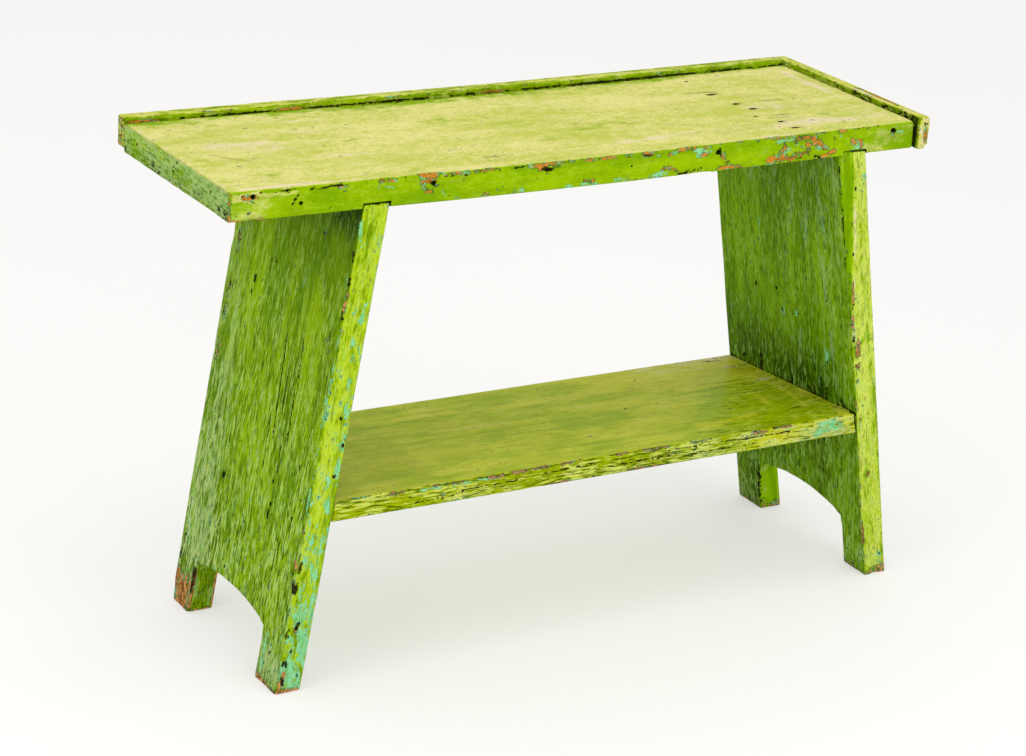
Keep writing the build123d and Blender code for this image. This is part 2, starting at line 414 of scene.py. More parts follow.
def chipped_paint(name, green, rubbed, ridge, rough, specular=0.02, streak=0.6, relief=1.0,
                  crisp=0.5, wood=(BROWN_WOOD, ORANGE_WOOD), fleck=(0.007, 0.0036),
                  brush=(0.16, 0.010), blotch=(0.026, 0.010), uneven=1.0):
    """Lime green over turquoise over bare wood: green, rubbed and wood are pairs of colours.
    Worn by attributes: loss is paint gone, blue patches of turquoise, mist a thin coat,
    fade rubbing, grain how far the wood's grain shows, then dirt together with painted shade,
    and a darker green for stains and for painted shade.
    Streak is how dark the grain's cracks are, relief its depth and crisp how dark the chips'
    outline is, a painted shadow of the paint's edge.
    Fleck, brush and blotch are the sizes of the grain, brush strokes and patches, and
    uneven is how patchy the rubbing is."""
    material = bpy.data.materials.new(name)
    material.use_nodes = True
    tree = material.node_tree
    tree.nodes.clear()
    nodes = Shade(tree)
    place = nodes.node("Attribute", {"attribute_name": "board"}, output="Vector")
    worn = {}
    for layer in ("loss", "blue", "mist", "fade", "grain", "soil", "stain", "hollow"):
        worn[layer] = nodes.node("Attribute", {"attribute_name": layer}, output="Fac")

    # The grain's noises, on a place that sways a little across the board.
    wander = place.noise(0.11, 0.06, 1, 0.5, 4.4, "Color")
    swayed = {"operation": "MULTIPLY_ADD"}
    board = nodes.node("VectorMath", swayed, {0: wander, 1: (0, 0.010, 0.010), 2: place})
    cloudy = board.figure(0.20, 0.05, 3, 0.55)
    brushed = board.figure(*brush, 2, 0.5, 3.1)
    streaky = board.figure(0.060, 0.0048, 3, 0.6, 8.7)
    blotchy = board.figure(*blotch, 4, 0.62, 2.3)
    grained = board.figure(0.028, 0.0034, 2, 0.6, 5.3)
    flecked = board.figure(*fleck, 2, 0.6, 7.2)
    mottled = board.figure(0.010, 0.0065, 3, 0.6, 1.9)
    jagged = board.figure(0.0050, 0.0030, 2, 0.6, 6.1)
    open_grain = worn["grain"]

    # The green coat: rubbed paler, thin, stained and darkened by painted shade, and cracked by
    # the grain.
    coat = (cloudy * 0.5 + brushed * 0.5 + blotchy * 0.25 + flecked * 0.2).between(-1.7, 1.7)
    paint = coat.blend(green[0], green[1])
    smeared = cloudy * 0.6 + blotchy * 0.4 + brushed * 0.2 + mottled * 0.4 + jagged * 0.55
    smeared = smeared.between(-2.0, 2.0)
    rubbing = worn["fade"] * 4 + (brushed * 0.35 + blotchy * 0.45) * uneven
    paint = rubbing.between(1.2, 2.8).blend(paint, smeared.blend(rubbed[0], rubbed[1]))
    paint = rubbing.between(4.2, 6.2).blend(paint, CREAM)
    haze = brushed * 0.4 + streaky * 0.3 + blotchy * 0.3 + worn["mist"] * 4
    paint = (haze.between(1.2, 3.4) * 0.6).blend(paint, MIST)
    paint = (worn["stain"] * (brushed + blotchy).between(-6.0, 1.0)).blend(paint, DARK_GREEN)
    # Pale flecks and dark lines in the open grain: its own tone, painted highlights and painted
    # shade.
    fine = grained * 0.6 + flecked * 0.65
    pale = fine + worn["mist"] * 1.0 + blotchy * 0.45
    misted = worn["mist"].between(0.25, 0.65).blend(ridge, PALE_MIST)
    paint = (pale.between(0.6, 1.2) * open_grain).blend(paint, misted)
    paint = (fine.between(-0.55, -1.3) * open_grain).blend(paint, DARK_GREEN)

    # Turquoise where the green is gone, and wood where both coats are.
    ragged = worn["loss"] * 5 + mottled * 0.5 + jagged * 0.45 + streaky * 0.3
    gone = ragged + blotchy.over(0.0) * 0.45
    thin = blotchy * 0.5 + streaky * 0.3 + jagged * 0.4 + mottled * 0.55 + worn["blue"] * 5
    worn_through = worn["blue"].between(0.0, 0.04)
    under = gone.between(2.75, 2.9).over(thin.between(2.55, 3.35) * worn_through)
    bare = ragged.between(3.0, 3.15)
    sea = (mottled * 0.5 + flecked * 0.7).between(-1.4, 0.8)
    sea = sea.blend(DULL_TURQUOISE, TURQUOISE)
    timber = (streaky * 0.5 + mottled * 0.5 + jagged * 0.5).between(-0.9, 1.3)
    timber = timber.blend(wood[0], wood[1])
    colour = under.blend(paint, sea)
    colour = bare.blend(colour, timber)
    # Painted shadow of the paint's edge round the chips; dirt in drying checks and specks; grime.
    lip = gone.between(2.0, 2.45) - gone.between(2.75, 2.9)
    shore = bare.apart(ragged.between(2.75, 2.95)) * 0.6
    edge = (thin.between(2.4, 2.7) - thin.between(2.9, 3.3)) * jagged.between(-0.4, 0.4)
    edge = edge * worn_through
    colour = (lip.over(shore).over(edge * crisp) * 0.8).blend(colour, GRIME_AND_SHADE)
    check = streaky.apart(0.0).between(0.34, 0.14) * grained.between(0.3, 1.0)
    specks = mottled.between(1.5, 1.9) * jagged.between(0.0, 0.6)
    specks = specks * (open_grain + 0.1) * 0.7
    colour = (check * open_grain * streak).over(specks).blend(colour, GRIME_AND_SHADE)
    # Grime, with painted shade inside the holes, cracks and other cuts.
    grime_and_shade = worn["soil"] * 5 + mottled * 0.5 + jagged * 0.5
    grime_and_shade = grime_and_shade.between(2.3, 3.0).over(worn["hollow"].between(0.4, 0.6))
    colour = (grime_and_shade * 0.95).blend(colour, GRIME_AND_SHADE)

    # Relief of the brush strokes, the open grain and the chips.
    height = brushed * 0.08 + (grained * 0.10 + flecked * 0.10 + jagged * 0.05) * open_grain
    height = (height - under * 0.12 - bare * 0.3 - check * open_grain * 0.3) * relief
    normal = nodes.node("Bump", {}, {"Strength": 1.0, "Distance": 0.001, "Height": height})
    surface = {"Base Color": colour, "Normal": normal}
    surface["Roughness"] = rough + grained * 0.03 + bare * 0.15
    surface["Specular IOR Level"] = specular
    shader = nodes.node("BsdfPrincipled", {}, surface)
    nodes.node("OutputMaterial", {}, {"Surface": shader})
    return material


class Leg:
    """A splayed board leg: where it stands, how it leans and how its bootjack is cut."""

    def __init__(self, foot_x, side, run, front_foot, back_foot, spring, crown, wane=None):
        self.foot_x = foot_x
        self.side = side
        self.angle = math.atan2(run, SPLAY_RISE)
        self.notch = (front_foot, LEG_DEPTH - back_foot)
        self.spring = spring
        self.crown = crown
        self.wane = wane

    def arch(self, v):
        """Height of the bootjack's arch along the board, at v across it."""
        middle = sum(self.notch) / 2
        half = (self.notch[1] - self.notch[0]) / 2
        rise = self.crown - self.spring
        radius = (half**2 + rise**2) / (2 * rise)
        drop = radius - np.sqrt(np.maximum(radius**2 - (v - middle) ** 2, 0))
        return self.crown - drop

    def faces(self, p):
        """Distances from points out to the leg's faces, all negative inside it."""
        u, v, w = p.T
        height = u * math.cos(self.angle) - self.side * w * math.sin(self.angle)
        opening = np.stack([self.notch[0] - v, v - self.notch[1], u - self.arch(v)])
        faces = [-height, height - LEG_TOP, -v, v - LEG_DEPTH, -w, w - LEG_THICK]
        faces.append(-eased(opening, ARCH_CORNER))
        if self.wane:
            reach = self.wane * (height - WANE_FOOT) / (LEG_TOP - WANE_FOOT)
            flat = np.maximum(reach, -5) - WANE_SLOPE[0] * v - WANE_SLOPE[1] * w
            faces.append(flat / WANE_SLOPE_LENGTH)
        return np.stack(faces)

    def grid(self, step):
        """Points and quads of the leg, its lines following the arch and the splay."""
        low = ruled((0, 6, self.spring), (1.2, step))
        high = ruled((self.spring, self.spring + 8, LEG_GRID_TOP - 8, LEG_GRID_TOP),
                     (2, step, 1.5))
        across = ruled((0, 6, self.notch[0] - 4, self.notch[0]), (1.1, step, 1.4))
        middle = ruled((self.notch[0], self.notch[0] + 16, self.notch[1] - 16, self.notch[1]),
                       (1.8, step, 1.8))
        rear = ruled((self.notch[1], self.notch[1] + 4, 300, LEG_DEPTH), (1.4, step, 1.1))
        vs = np.concatenate([across, middle[1:], rear[1:]])
        ws = ruled((0, 5, LEG_THICK - 5, LEG_THICK), (1.0, 2.4, 1.0))
        solid = np.ones((len(low) + len(high) - 2, len(vs) - 1, len(ws) - 1), bool)
        first, last = len(across) - 1, len(across) + len(middle) - 2
        solid[: len(low) - 1, first:last, :] = False
        nodes, quads = skin(solid)
        v, w = vs[nodes[:, 1]], ws[nodes[:, 2]]
        tilt = self.side * w * math.tan(self.angle)
        top = LEG_TOP / math.cos(self.angle) + tilt
        knee = len(low) - 1
        shared = np.clip(v, *self.notch)
        arch = self.arch(shared)
        below = low[np.minimum(nodes[:, 0], knee)] / self.spring
        above = np.concatenate([low, high[1:]])[nodes[:, 0]]
        above = held((above - self.spring) / (LEG_GRID_TOP - self.spring))
        u = np.where(nodes[:, 0] <= knee, tilt + (arch - tilt) * below,
                     arch + (top - arch) * above)
        return np.stack([u, v, w], 1), quads

    def to_world(self, p):
        """The board's own points in the bench's place."""
        u, v, w = p.T
        sine, cosine = math.sin(self.angle), math.cos(self.angle)
        x = self.foot_x + self.side * u * sine + w * cosine
        return np.stack([x, PLANK_FRONT + v, u * cosine - self.side * w * sine], 1)


left_leg = Leg(PLANK_LEFT + LEFT_FOOT, side=1, run=LEFT_SPLAY, front_foot=57, back_foot=51,
               spring=71, crown=84)

LEFT_LEG_CRACKS = (
    (436, 125, 296, 115, 1.9), (456, 84, 384, 79, 1.5), (378, 82, 300, 78, 1.7),
    (392, 106, 330, 103, 1.2), (330, 130, 250, 127, 1.2), (296, 92, 256, 90, 1.1),
    (180, 60, 120, 62, 1.2), (170, 210, 128, 214, 1.1), (520, 196, 468, 192, 1),
)
LEFT_LEG_HOLES = (
    pit((208, 222, 0), (0, 0, 1), (6, 5), 7, 11),
    pit((219, 93, 0), (0, 0, 1), (6, 5), 7, 12),
    pit((222, 35, 0), (0, 0, 1), (6, 4.5), 7, 13),
    pit((248, 95, 0), (0, 0, 1), (4, 3), 4, 14),
    pit((206, 95, 0), (0, 0, 1), (9, 3.5), 3, 15),
    pit((98, 180, 0), (0, 0, 1), (4, 3), 3, 16),
    pit((468, 230, 0), (0, 0, 1), (9, 4), 2.5, 17),
    pit((367, 0, 22), (0, 1, 0), (5, 4), 7, 18),
    pit((332, 0, 32), (0, 1, 0), (6, 4), 3, 19),
    pit((90, 0, 14), (0, 1, 0), (6, 3.5), 3, 20),
    pit((39, 0, 9), (0, 1, 0), (5, 3.5), 3, 21),
    *(split((a, b, 0), (c, d, 0), (0, 0, 1), 1.2 * width, 4, 31 + i)
      for i, (a, b, c, d, width) in enumerate(LEFT_LEG_CRACKS)),
)
LEFT_LEG_BITES = (
    ((168, 4, 0), (9, 7, 3.5), 41),
    ((147, 2, 0), (8, 5, 3), 42),
    ((215, 2, 0), (7, 4, 2.5), 43),
    ((519, 2, 0), (17, 5, 3), 44),
    ((573, 2, 0), (6, 4, 2.5), 45),
    ((504, 306, 0), (14, 4, 3), 46),
    ((352, 306, 0), (12, 4, 3), 47),
    ((4, 306, 0), (30, 10, 8), 48),
    ((2, 0, 0), (12, 6, 6), 49),
    ((0, 255, 2), (12, 5, 5), 50),
)


def left_leg_wear(p):
    u, v, w = p.T
    faces = left_leg.faces(p)
    edge = arris(faces)
    low = held(1 - u / 600)
    front = held(1 - v / 1.5)
    outer = held(1 - w / 1.5)
    broad = drift(p, (190, 20, 22), 8)
    notch = (v > 57) & (v < 255.2) & (w > 3) & (w < 33) & (u > 6) & (u < 90)
    patchy = drift(p, (26, 9, 9), 3)
    loss = (0.40 + 0.14 * patchy) * held(1 - edge / 3.2)
    # Chips to the wood along the front arris and round both feet.
    chips = on_face(2, 0, (
        (521, 2, 528, 2, 3), (502, 3, 512, 3, 2.8), (168, 6, 176, 9, 3.2), (144, 4, 152, 3, 3.2),
        (215, 2, 219, 2, 2.5), (0, 30, 0, 5, 7), (4, 46, 0, 30, 6), (2, 276, 16, 276, 21),
        (30, 270, 26, 288, 16), (44, 300, 20, 304, 7),
    ))
    chips += on_face(1, 0, (
        (2, 4, 2, 30, 6), (90, 14, 86, 12, 2.4), (332, 32, 332, 32, 2.4), (30, 8, 6, 4, 2.6),
    ))
    chips += [((60, 255.5, 2), (4, 255.5, 2), 3.2), ((0, 254, 4), (4, 254, 36), 5.0),
              ((60, 255, 35), (4, 255, 35), 4.0)]
    loss = np.maximum(loss, touched(p, chips))
    # Spots worn through to turquoise, most of them near the rear edge.
    loss = np.maximum(loss, 0.57 * marked(p, 2, 0, (
        (516, 289, 504, 290, 6.5), (497, 288, 492, 288, 5.5), (444, 291, 432, 292, 6),
        (420, 293, 402, 295, 6.5), (360, 293, 344, 294, 7), (511, 43, 510, 43, 5),
        (464, 25, 456, 25, 5), (446, 19, 444, 19, 4), (511, 185, 510, 185, 4),
        (574, 79, 576, 79, 3.6),
    )))
    loss = np.where(notch, np.minimum(loss, 0.2), loss)
    # Turquoise down the front edge, more of it towards the foot, in patches.
    right_side = held(w / 36)
    blue = front * held(0.20 + 0.36 * low + (0.34 - 0.1 * low) * (right_side - 0.5))
    blue += front * 0.42 * held((150 - u) / 110)
    blue = np.maximum(blue, outer * (0.04 + 0.24 * low))
    blue += 0.10 * drift(p, (50, 16, 16), 5)
    blue += 0.5 * marked(p, 2, 0, ((480, 3, 240, 2, 2.6), (560, 5, 520, 7, 3),
                                   (56, 40, 20, 50, 7)))
    blue += 0.24 * marked(p, 2, 0, ((580, 92, 500, 108, 7),))
    blue = np.maximum(blue, 0.86 * marked(p, 1, 0, (
        (615, 1, 590, 4, 3.4), (596, 22, 580, 3, 1.6), (512, 27, 490, 24, 4),
        (513, 26, 496, 3, 1.6), (468, 19, 462, 20, 4), (448, 23, 440, 24, 4.5),
        (418, 27, 404, 27, 4.5), (384, 25, 370, 27, 5), (336, 32, 326, 33, 5),
        (311, 30, 300, 31, 5.5), (286, 20, 282, 20, 5), (258, 24, 246, 28, 6.5),
        (212, 12, 196, 16, 6.5), (182, 12, 160, 26, 7), (130, 26, 100, 22, 8),
        (80, 22, 60, 24, 8.5), (30, 18, 8, 22, 10),
    )))
    # A thin pale coat on the front foot and towards the rear edge.
    grey_foot = outer * held((66 - u) / 30) * (v < 70)
    mist = outer * (0.12 + 0.10 * low + 0.4 * held(low - 0.5)) + 0.06 * front
    mist += 0.5 * grey_foot + outer * (0.24 * broad + 0.46 * held((v - 215) / 60))
    # A pale line down the arris between the outer face and the front edge: a painted highlight.
    mist += 0.55 * touched(p, [((500, 0, 0), (90, 0, 0), 1.5)])
    grain = outer * np.clip(0.30 + 0.95 * low + 0.20 * drift(p, (90, 26, 20), 9), 0.2, 1)
    grain += front * 0.50 + 0.5 * notch + 0.4 * (v > 304.5) + 0.3 * (w > 34.5)
    fade = front * 0.86 + 0.15 * held(1 - edge / 5) * outer
    # Painted shade: darker green towards the top, under the plank's overhang.
    # Darker too inside the bootjack and in broad random patches.
    shade = held((u - 480) / 150) * held(1.25 - v / 700)
    overhang_shade = held((u - 572) / 50) * held(1.2 - v / 260)
    stain = outer * (0.84 * shade + 0.5 * overhang_shade + 0.24 * held(-broad) * (u > 300))
    stain = np.maximum(stain, np.where(notch, 0.30, 0))
    # Dirt in the holes and dents; darker along the cracks, under the arch and at the top.
    soil = 0.9 * touched(p, on_face(2, 0, (
        (206, 222, 210, 222, 2.8), (217, 93, 221, 93, 3), (220, 35, 224, 35, 2.8),
        (246, 95, 250, 95, 2.2), (200, 95, 212, 94, 2.6), (466, 230, 472, 230, 2.6),
        (455, 232, 450, 233, 2), (506, 186, 508, 186, 1.6), (575, 79, 578, 79, 1.8),
        (505, 291, 514, 290, 2), (440, 291, 446, 291, 1.8), (398, 296, 404, 295, 2),
        (362, 292, 364, 292, 1.8), (340, 295, 336, 295, 1.8), (98, 180, 99, 180, 2.2),
        (72, 250, 66, 232, 3.6), (64, 256, 30, 256, 3), (60, 300, 96, 296, 2),
        (218, 2, 214, 1, 2.4), (164, 9, 158, 10, 2.6), (150, 3, 140, 4, 2.6),
        (576, 4, 566, 3, 2.6), (544, 2, 534, 2, 2.4), (500, 4, 492, 3, 2.2),
        (292, 38, 286, 38, 1.8), (48, 30, 40, 32, 2), (120, 8, 112, 6, 1.8),
    )) + on_face(1, 0, (
        (366, 22, 368, 22, 2.4), (96, 16, 90, 14, 3.2), (40, 9, 42, 9, 2.6), (58, 12, 62, 13, 2),
        (52, 6, 40, 4, 2.4), (24, 6, 14, 9, 2.2), (176, 4, 164, 2, 2.6), (150, 4, 138, 2, 2.6),
        (88, 3, 78, 2, 2.4), (290, 27, 292, 27, 2.6), (340, 34, 336, 34, 1.6), (90, 4, 86, 5, 2),
    )))
    cracks = marked(p, 2, 0, LEFT_LEG_CRACKS)
    soil = np.maximum(soil, 0.78 * outer * cracks)
    roof = held((u - left_leg.arch(np.clip(v, *left_leg.notch)) + 2.5) / 2.5)
    soil = np.maximum(soil, 0.58 * roof * (w > 1.5) * (u < 90) * (v > 180) * (v < 254))
    soil = np.maximum(soil, 0.62 * held(1 + faces[1] / 2.0))
    return {"loss": loss, "blue": blue, "mist": mist, "fade": fade, "grain": grain,
            "soil": soil, "stain": stain}


leg_paint = chipped_paint(
    "left_leg_paint", (tint(104, 142, 0), tint(146, 182, 0)),
    (tint(154, 190, 4), tint(186, 212, 46)), tint(172, 206, 104), 0.6, streak=0.9, crisp=0.4,
    wood=(tint(104, 62, 24), tint(208, 152, 84)), fleck=(0.016, 0.0023))
grid_points, grid_quads = left_leg.grid(3.4)
grid_points = weathered(grid_points, left_leg.faces, 2.6, LEFT_LEG_BITES, 0.5, 7)
left_leg_mesh = carved("left_leg_board", grid_points, grid_quads, LEFT_LEG_HOLES)
piece_of("left_leg_board", left_leg_mesh, left_leg.to_world, left_leg_wear, leg_paint,
         "left_leg")

# ---------------------------------------------------------------- right leg
# The same board leg at the other end, splayed a little more, with its own bootjack.
# Its inner front arris follows the tree's edge, a waney flat that runs out half way down.

RIGHT_FOOT = 1010
RIGHT_SPLAY = 123
right_leg = Leg(PLANK_LEFT + RIGHT_FOOT, side=-1, run=RIGHT_SPLAY, front_foot=50, back_foot=56,
                spring=76, crown=93, wane=14.0)

RIGHT_LEG_HOLES = (
    pit((378, 224, 0), (0, 0, 1), (5, 4), 5, 61),
    pit((386, 174, 0), (0, 0, 1), (5, 4), 5, 62),
    pit((357, 164, 0), (0, 0, 1), (5, 4), 2.0, 63),
    pit((363, 126, 0), (0, 0, 1), (4, 4), 2.0, 64),
    pit((399, 244, 0), (0, 0, 1), (3.5, 3), 3, 65),
    pit((312, 62, 0), (0, 0, 1), (6, 4), 2.0, 66),
    pit((407, 56, 0), (0, 0, 1), (3, 3), 3, 67),
    pit((424, 102, 0), (0, 0, 1), (3, 3), 3, 68),
    pit((133, 86, 0), (0, 0, 1), (5, 3), 3, 69),
)
RIGHT_LEG_BITES = (
    ((0, 0, 18), (12, 7, 12), 71),
    ((351, 0, 4), (14, 2.5, 7), 72),
    ((157, 0, 14), (6, 1.5, 5), 73),
    ((10, 250, 0), (40, 4, 3), 74),
    ((0, 306, 10), (14, 6, 12), 75),
)


def right_leg_wear(p):
    u, v, w = p.T
    faces = right_leg.faces(p)
    edge = arris(faces)
    front = held(1 - v / 1.5)
    inner = held(1 - w / 1.5)
    flat = faces[7]
    waney = held(1 + flat / 1.2) * (flat > faces[2] - 1)
    notch = (v > 50) & (v < 250) & (w > 3) & (u < 100)
    patchy = drift(p, (26, 9, 9), 13)
    loss = (0.38 + 0.14 * patchy) * held(1 - edge / 3.0)
    # Chips along the front arris, and the wood bare under both feet.
    chips = on_face(1, 0, (
        (344, 7, 360, 9, 4.6), (324, 6, 328, 7, 3.4), (305, 4, 307, 4, 2.4),
        (157, 15, 160, 16, 3.2), (52, 1, 90, 0, 2.4), (246, 5, 246, 6, 2.2), (280, 0, 264, 0, 2),
    ))
    chips += [((452, 1, 6), (420, 1, 4), 1.3), ((402, 1, 2), (388, 1, 2), 2.0)]
    loss = np.maximum(loss, touched(p, chips))
    foot = held(1 - u / (13 + 5 * patchy))
    loss = np.maximum(loss, 0.62 * np.sqrt(foot))
    loss = np.where(notch & (u > 8), np.minimum(loss, 0.34), loss)
    # Turquoise, faint all over, in spots and in cloudy patches.
    blue = inner * 0.14 + front * 0.20 + 0.10 * drift(p, (90, 26, 26), 15)
    blue += 0.4 * marked(p, 1, 0, ((246, 3, 240, 6, 4), (28, 26, 16, 24, 4),
                                   (613, 34, 600, 34, 4)))
    blue += 0.62 * marked(p, 2, 0, (
        (318, 62, 324, 62, 8), (355, 160, 356, 160, 7), (362, 130, 363, 130, 5),
    ))
    blue += 0.2 * marked(p, 2, 0, (
        (557, 162, 520, 170, 8), (518, 90, 484, 108, 8), (368, 48, 330, 52, 8),
        (600, 40, 520, 50, 8), (480, 204, 440, 232, 7),
    ))
    # A thin pale coat, streaked along the grain.
    high = held((u - 330) / 260)
    broad = drift(p, (220, 18, 18), 18)
    mist = inner * (0.10 + high * (0.20 + 0.16 * broad) + 0.08 * broad + 0.18 * (v < 70))
    mist += inner * (0.35 * held(1 - u / 140) * (v > 240) + 0.12 * (v > 285))
    mist += (0.4 * front + 0.3 * inner) * held(1 - u / 90)
    mist = np.maximum(mist, 0.85 * marked(p, 2, 0, (
        (600, 66, 520, 58, 4), (530, 90, 470, 104, 5), (590, 160, 520, 170, 5),
        (560, 118, 500, 132, 4), (470, 62, 400, 58, 4), (360, 52, 280, 46, 4),
        (610, 210, 540, 222, 5), (340, 120, 290, 128, 4),
    )))
    grain = inner * (0.62 + 0.3 * np.exp(-(((u - 262) / 36) ** 2)) + 0.24 * (u < 220))
    grain += front * 0.55 + 0.6 * notch + 0.4 * (v > 304.5) + 0.3 * (w > 34.5)
    fade = front * 0.90 + 0.1 * (w > 34) + 0.30 * waney
    fade += inner * 0.34 * held(1.2 - v / 55) * np.clip((u - 240) / 60, 0.35, 1)
    # A pale line down the front arris and the waney edge: rubbed paint and a painted highlight.
    fade += 0.9 * touched(p, [((640, 0, 19), (364, 0, 1.5), 2.0), ((364, 0, 0), (60, 0, 0), 1.4)])
    fade = np.maximum(fade, np.where(notch, 0.34, 0))
    # Painted shade: darker green round and below the shelf, under the plank and by the rear foot.
    # Darker too in broad random patches.
    painted_shade = 1.05 * np.exp(-(((u - 262) / 72) ** 2)) + 0.60 * held((u - 480) / 130)
    painted_shade = painted_shade * held(0.05 + v / 90) * held(1.35 - v / 500)
    stain = inner * (painted_shade + 0.22 * held(-broad) + 0.30 * (u < 225))
    stain += inner * (0.40 * (u < 100) * (v > 246) + 0.3 * (u > 612))
    # Dirt in the holes and along the arrises, and a dark band in the seam over the shelf.
    soil = 0.9 * marked(p, 2, 0, (
        (378, 224, 376, 224, 2.6), (386, 174, 386, 175, 2.6), (424, 102, 425, 102, 1.8),
        (399, 244, 400, 244, 2), (407, 56, 408, 56, 2), (316, 56, 320, 58, 1.8),
        (357, 163, 352, 160, 1.8), (498, 231, 500, 231, 1.6), (133, 86, 134, 86, 2.4),
        (236, 226, 266, 223, 3.6), (243, 150, 262, 148, 3), (248, 70, 270, 68, 2.4),
        (246, 270, 252, 262, 3), (256, 110, 250, 100, 3), (262, 36, 256, 26, 3),
    ))
    seam = 230 + (306 - v) * 0.083
    soil = np.maximum(soil, inner * 0.9 * held(1.1 - np.abs(u - seam) / (5 + 0.022 * v)))
    soil = np.maximum(soil, 0.72 * touched(p, [
        ((625, 13.5, 0.5), (470, 8, 0.5), 1.7), ((470, 8, 0.5), (390, 3, 0.5), 1.5),
        ((70, 250, 0), (4, 250, 0), 4.4), ((240, 306, 1), (30, 306, 1), 2.0),
        ((494, 0, 8), (490, 0, 7), 2.4), ((530, 0, 12), (528, 0, 12), 1.8),
        ((420, 0, 3), (412, 0, 3), 1.8), ((590, 0, 17), (570, 0, 15), 1.6),
        ((372, 0, 2), (366, 0, 2), 2.0), ((330, 0, 2), (318, 0, 1), 1.8),
    ]))
    soil = np.maximum(soil, 0.62 * held(1 + faces[1] / 2.0))
    return {"loss": loss, "blue": blue, "mist": mist, "fade": fade, "grain": grain,
            "soil": soil, "stain": stain}


right_paint = chipped_paint(
    "right_leg_paint", (tint(108, 150, 0), tint(142, 186, 0)),
    (tint(170, 198, 34), tint(206, 220, 92)), tint(152, 192, 92), 0.55, streak=0.9, crisp=0.4,
    wood=(tint(86, 62, 34), tint(194, 144, 80)), fleck=(0.013, 0.0026))
grid_points, grid_quads = right_leg.grid(3.4)
grid_points = weathered(grid_points, right_leg.faces, 2.6, RIGHT_LEG_BITES, 0.5, 17)
right_leg_mesh = carved("right_leg_board", grid_points, grid_quads, RIGHT_LEG_HOLES)
piece_of("right_leg_board", right_leg_mesh, right_leg.to_world, right_leg_wear, right_paint,
         "right_leg")

# ---------------------------------------------------------------- shelf
# One board let into both legs for buckets to stand on, sloping down a little to the back.
# Its olive paint has been walked and scrubbed to a low gloss; its front arrises are chipped.

SHELF_THICK = 27.5
SHELF_FRONT_HEIGHT = 251.0
SHELF_DROP = 21.6
SHELF_SLOPE = math.atan2(SHELF_DROP, LEG_DEPTH)
SHELF_DEPTH = 304.8
SHELF_STOP = 14.0
HOUSING = 5.0
LEFT_GAP = 0.5
RIGHT_GAP = 2.5
SHELF_RULE = 820


def lattice(lines, across, through):
    """A plain board's points as u, v and w, and its quads, from its grid lines."""
    nodes, quads = skin(np.ones((len(lines) - 1, len(across) - 1, len(through) - 1), bool))
    return lines[nodes[:, 0]], across[nodes[:, 1]], through[nodes[:, 2]], quads


def shelf_to_world(p):
    u, v, w = p.T
    sine, cosine = math.sin(SHELF_SLOPE), math.cos(SHELF_SLOPE)
    y = PLANK_FRONT + SHELF_THICK * sine + v * cosine - w * sine
    z = SHELF_FRONT_HEIGHT - v * sine - w * cosine
    return np.stack([PLANK_LEFT + u, y, z], 1)


def shelf_ends(v, w):
    """Where the shelf meets the legs' inner faces, along the plank, at v and w."""
    height = SHELF_FRONT_HEIGHT - v * math.sin(SHELF_SLOPE) - w * math.cos(SHELF_SLOPE)
    left = LEFT_FOOT + LEG_THICK / math.cos(left_leg.angle) + height * LEFT_SPLAY / SPLAY_RISE
    right = RIGHT_FOOT - height * RIGHT_SPLAY / SPLAY_RISE
    housed = held((v - SHELF_STOP) / 2.0)
    left = left + LEFT_GAP - (HOUSING + LEFT_GAP) * housed
    return left, right - RIGHT_GAP + (HOUSING + RIGHT_GAP) * housed


def shelf_faces(p):
    u, v, w = p.T
    left, right = shelf_ends(v, w)
    return np.stack([left - u, u - right, -v, v - SHELF_DEPTH, -w, w - SHELF_THICK])


SHELF_BITES = (
    ((330, 0, 0), (26, 3, 2.5), 91), ((395, 0, 0), (14, 2.5, 2), 92),
    ((450, 0, 27.5), (20, 2.5, 3), 93), ((560, 0, 27.5), (16, 2.5, 3), 94),
    ((620, 0, 27.5), (13, 2.5, 2.5), 95), ((700, 0, 0), (20, 2.5, 2), 96),
    ((770, 0, 0), (14, 2.5, 2), 97), ((830, 0, 27.5), (18, 2.5, 3), 98),
    ((262, 0, 27.5), (16, 2.5, 3), 99), ((860, 0, 0), (16, 2.5, 2), 100),
)
SHELF_SCARS = (
    pit((687, 155, 0), (0, 0, 1), (6, 4), 1.0, 102),
    pit((771, 260, 0), (0, 0, 1), (4, 2.5), 1.5, 103),
    split((380, 0, 10), (520, 0, 11), (0, 1, 0), 1.0, 2, 104),
    split((560, 0, 15), (720, 0, 13), (0, 1, 0), 1.0, 2, 105),
    split((700, 0, 8), (860, 0, 9), (0, 1, 0), 1.1, 2, 106),
    split((620, 0, 20), (760, 0, 19), (0, 1, 0), 1.0, 2, 107),
    split((280, 0, 17), (420, 0, 16), (0, 1, 0), 1.0, 2, 108),
    split((900, 290, 0), (932, 286, 0), (0, 0, 1), 1.2, 2, 109),
)


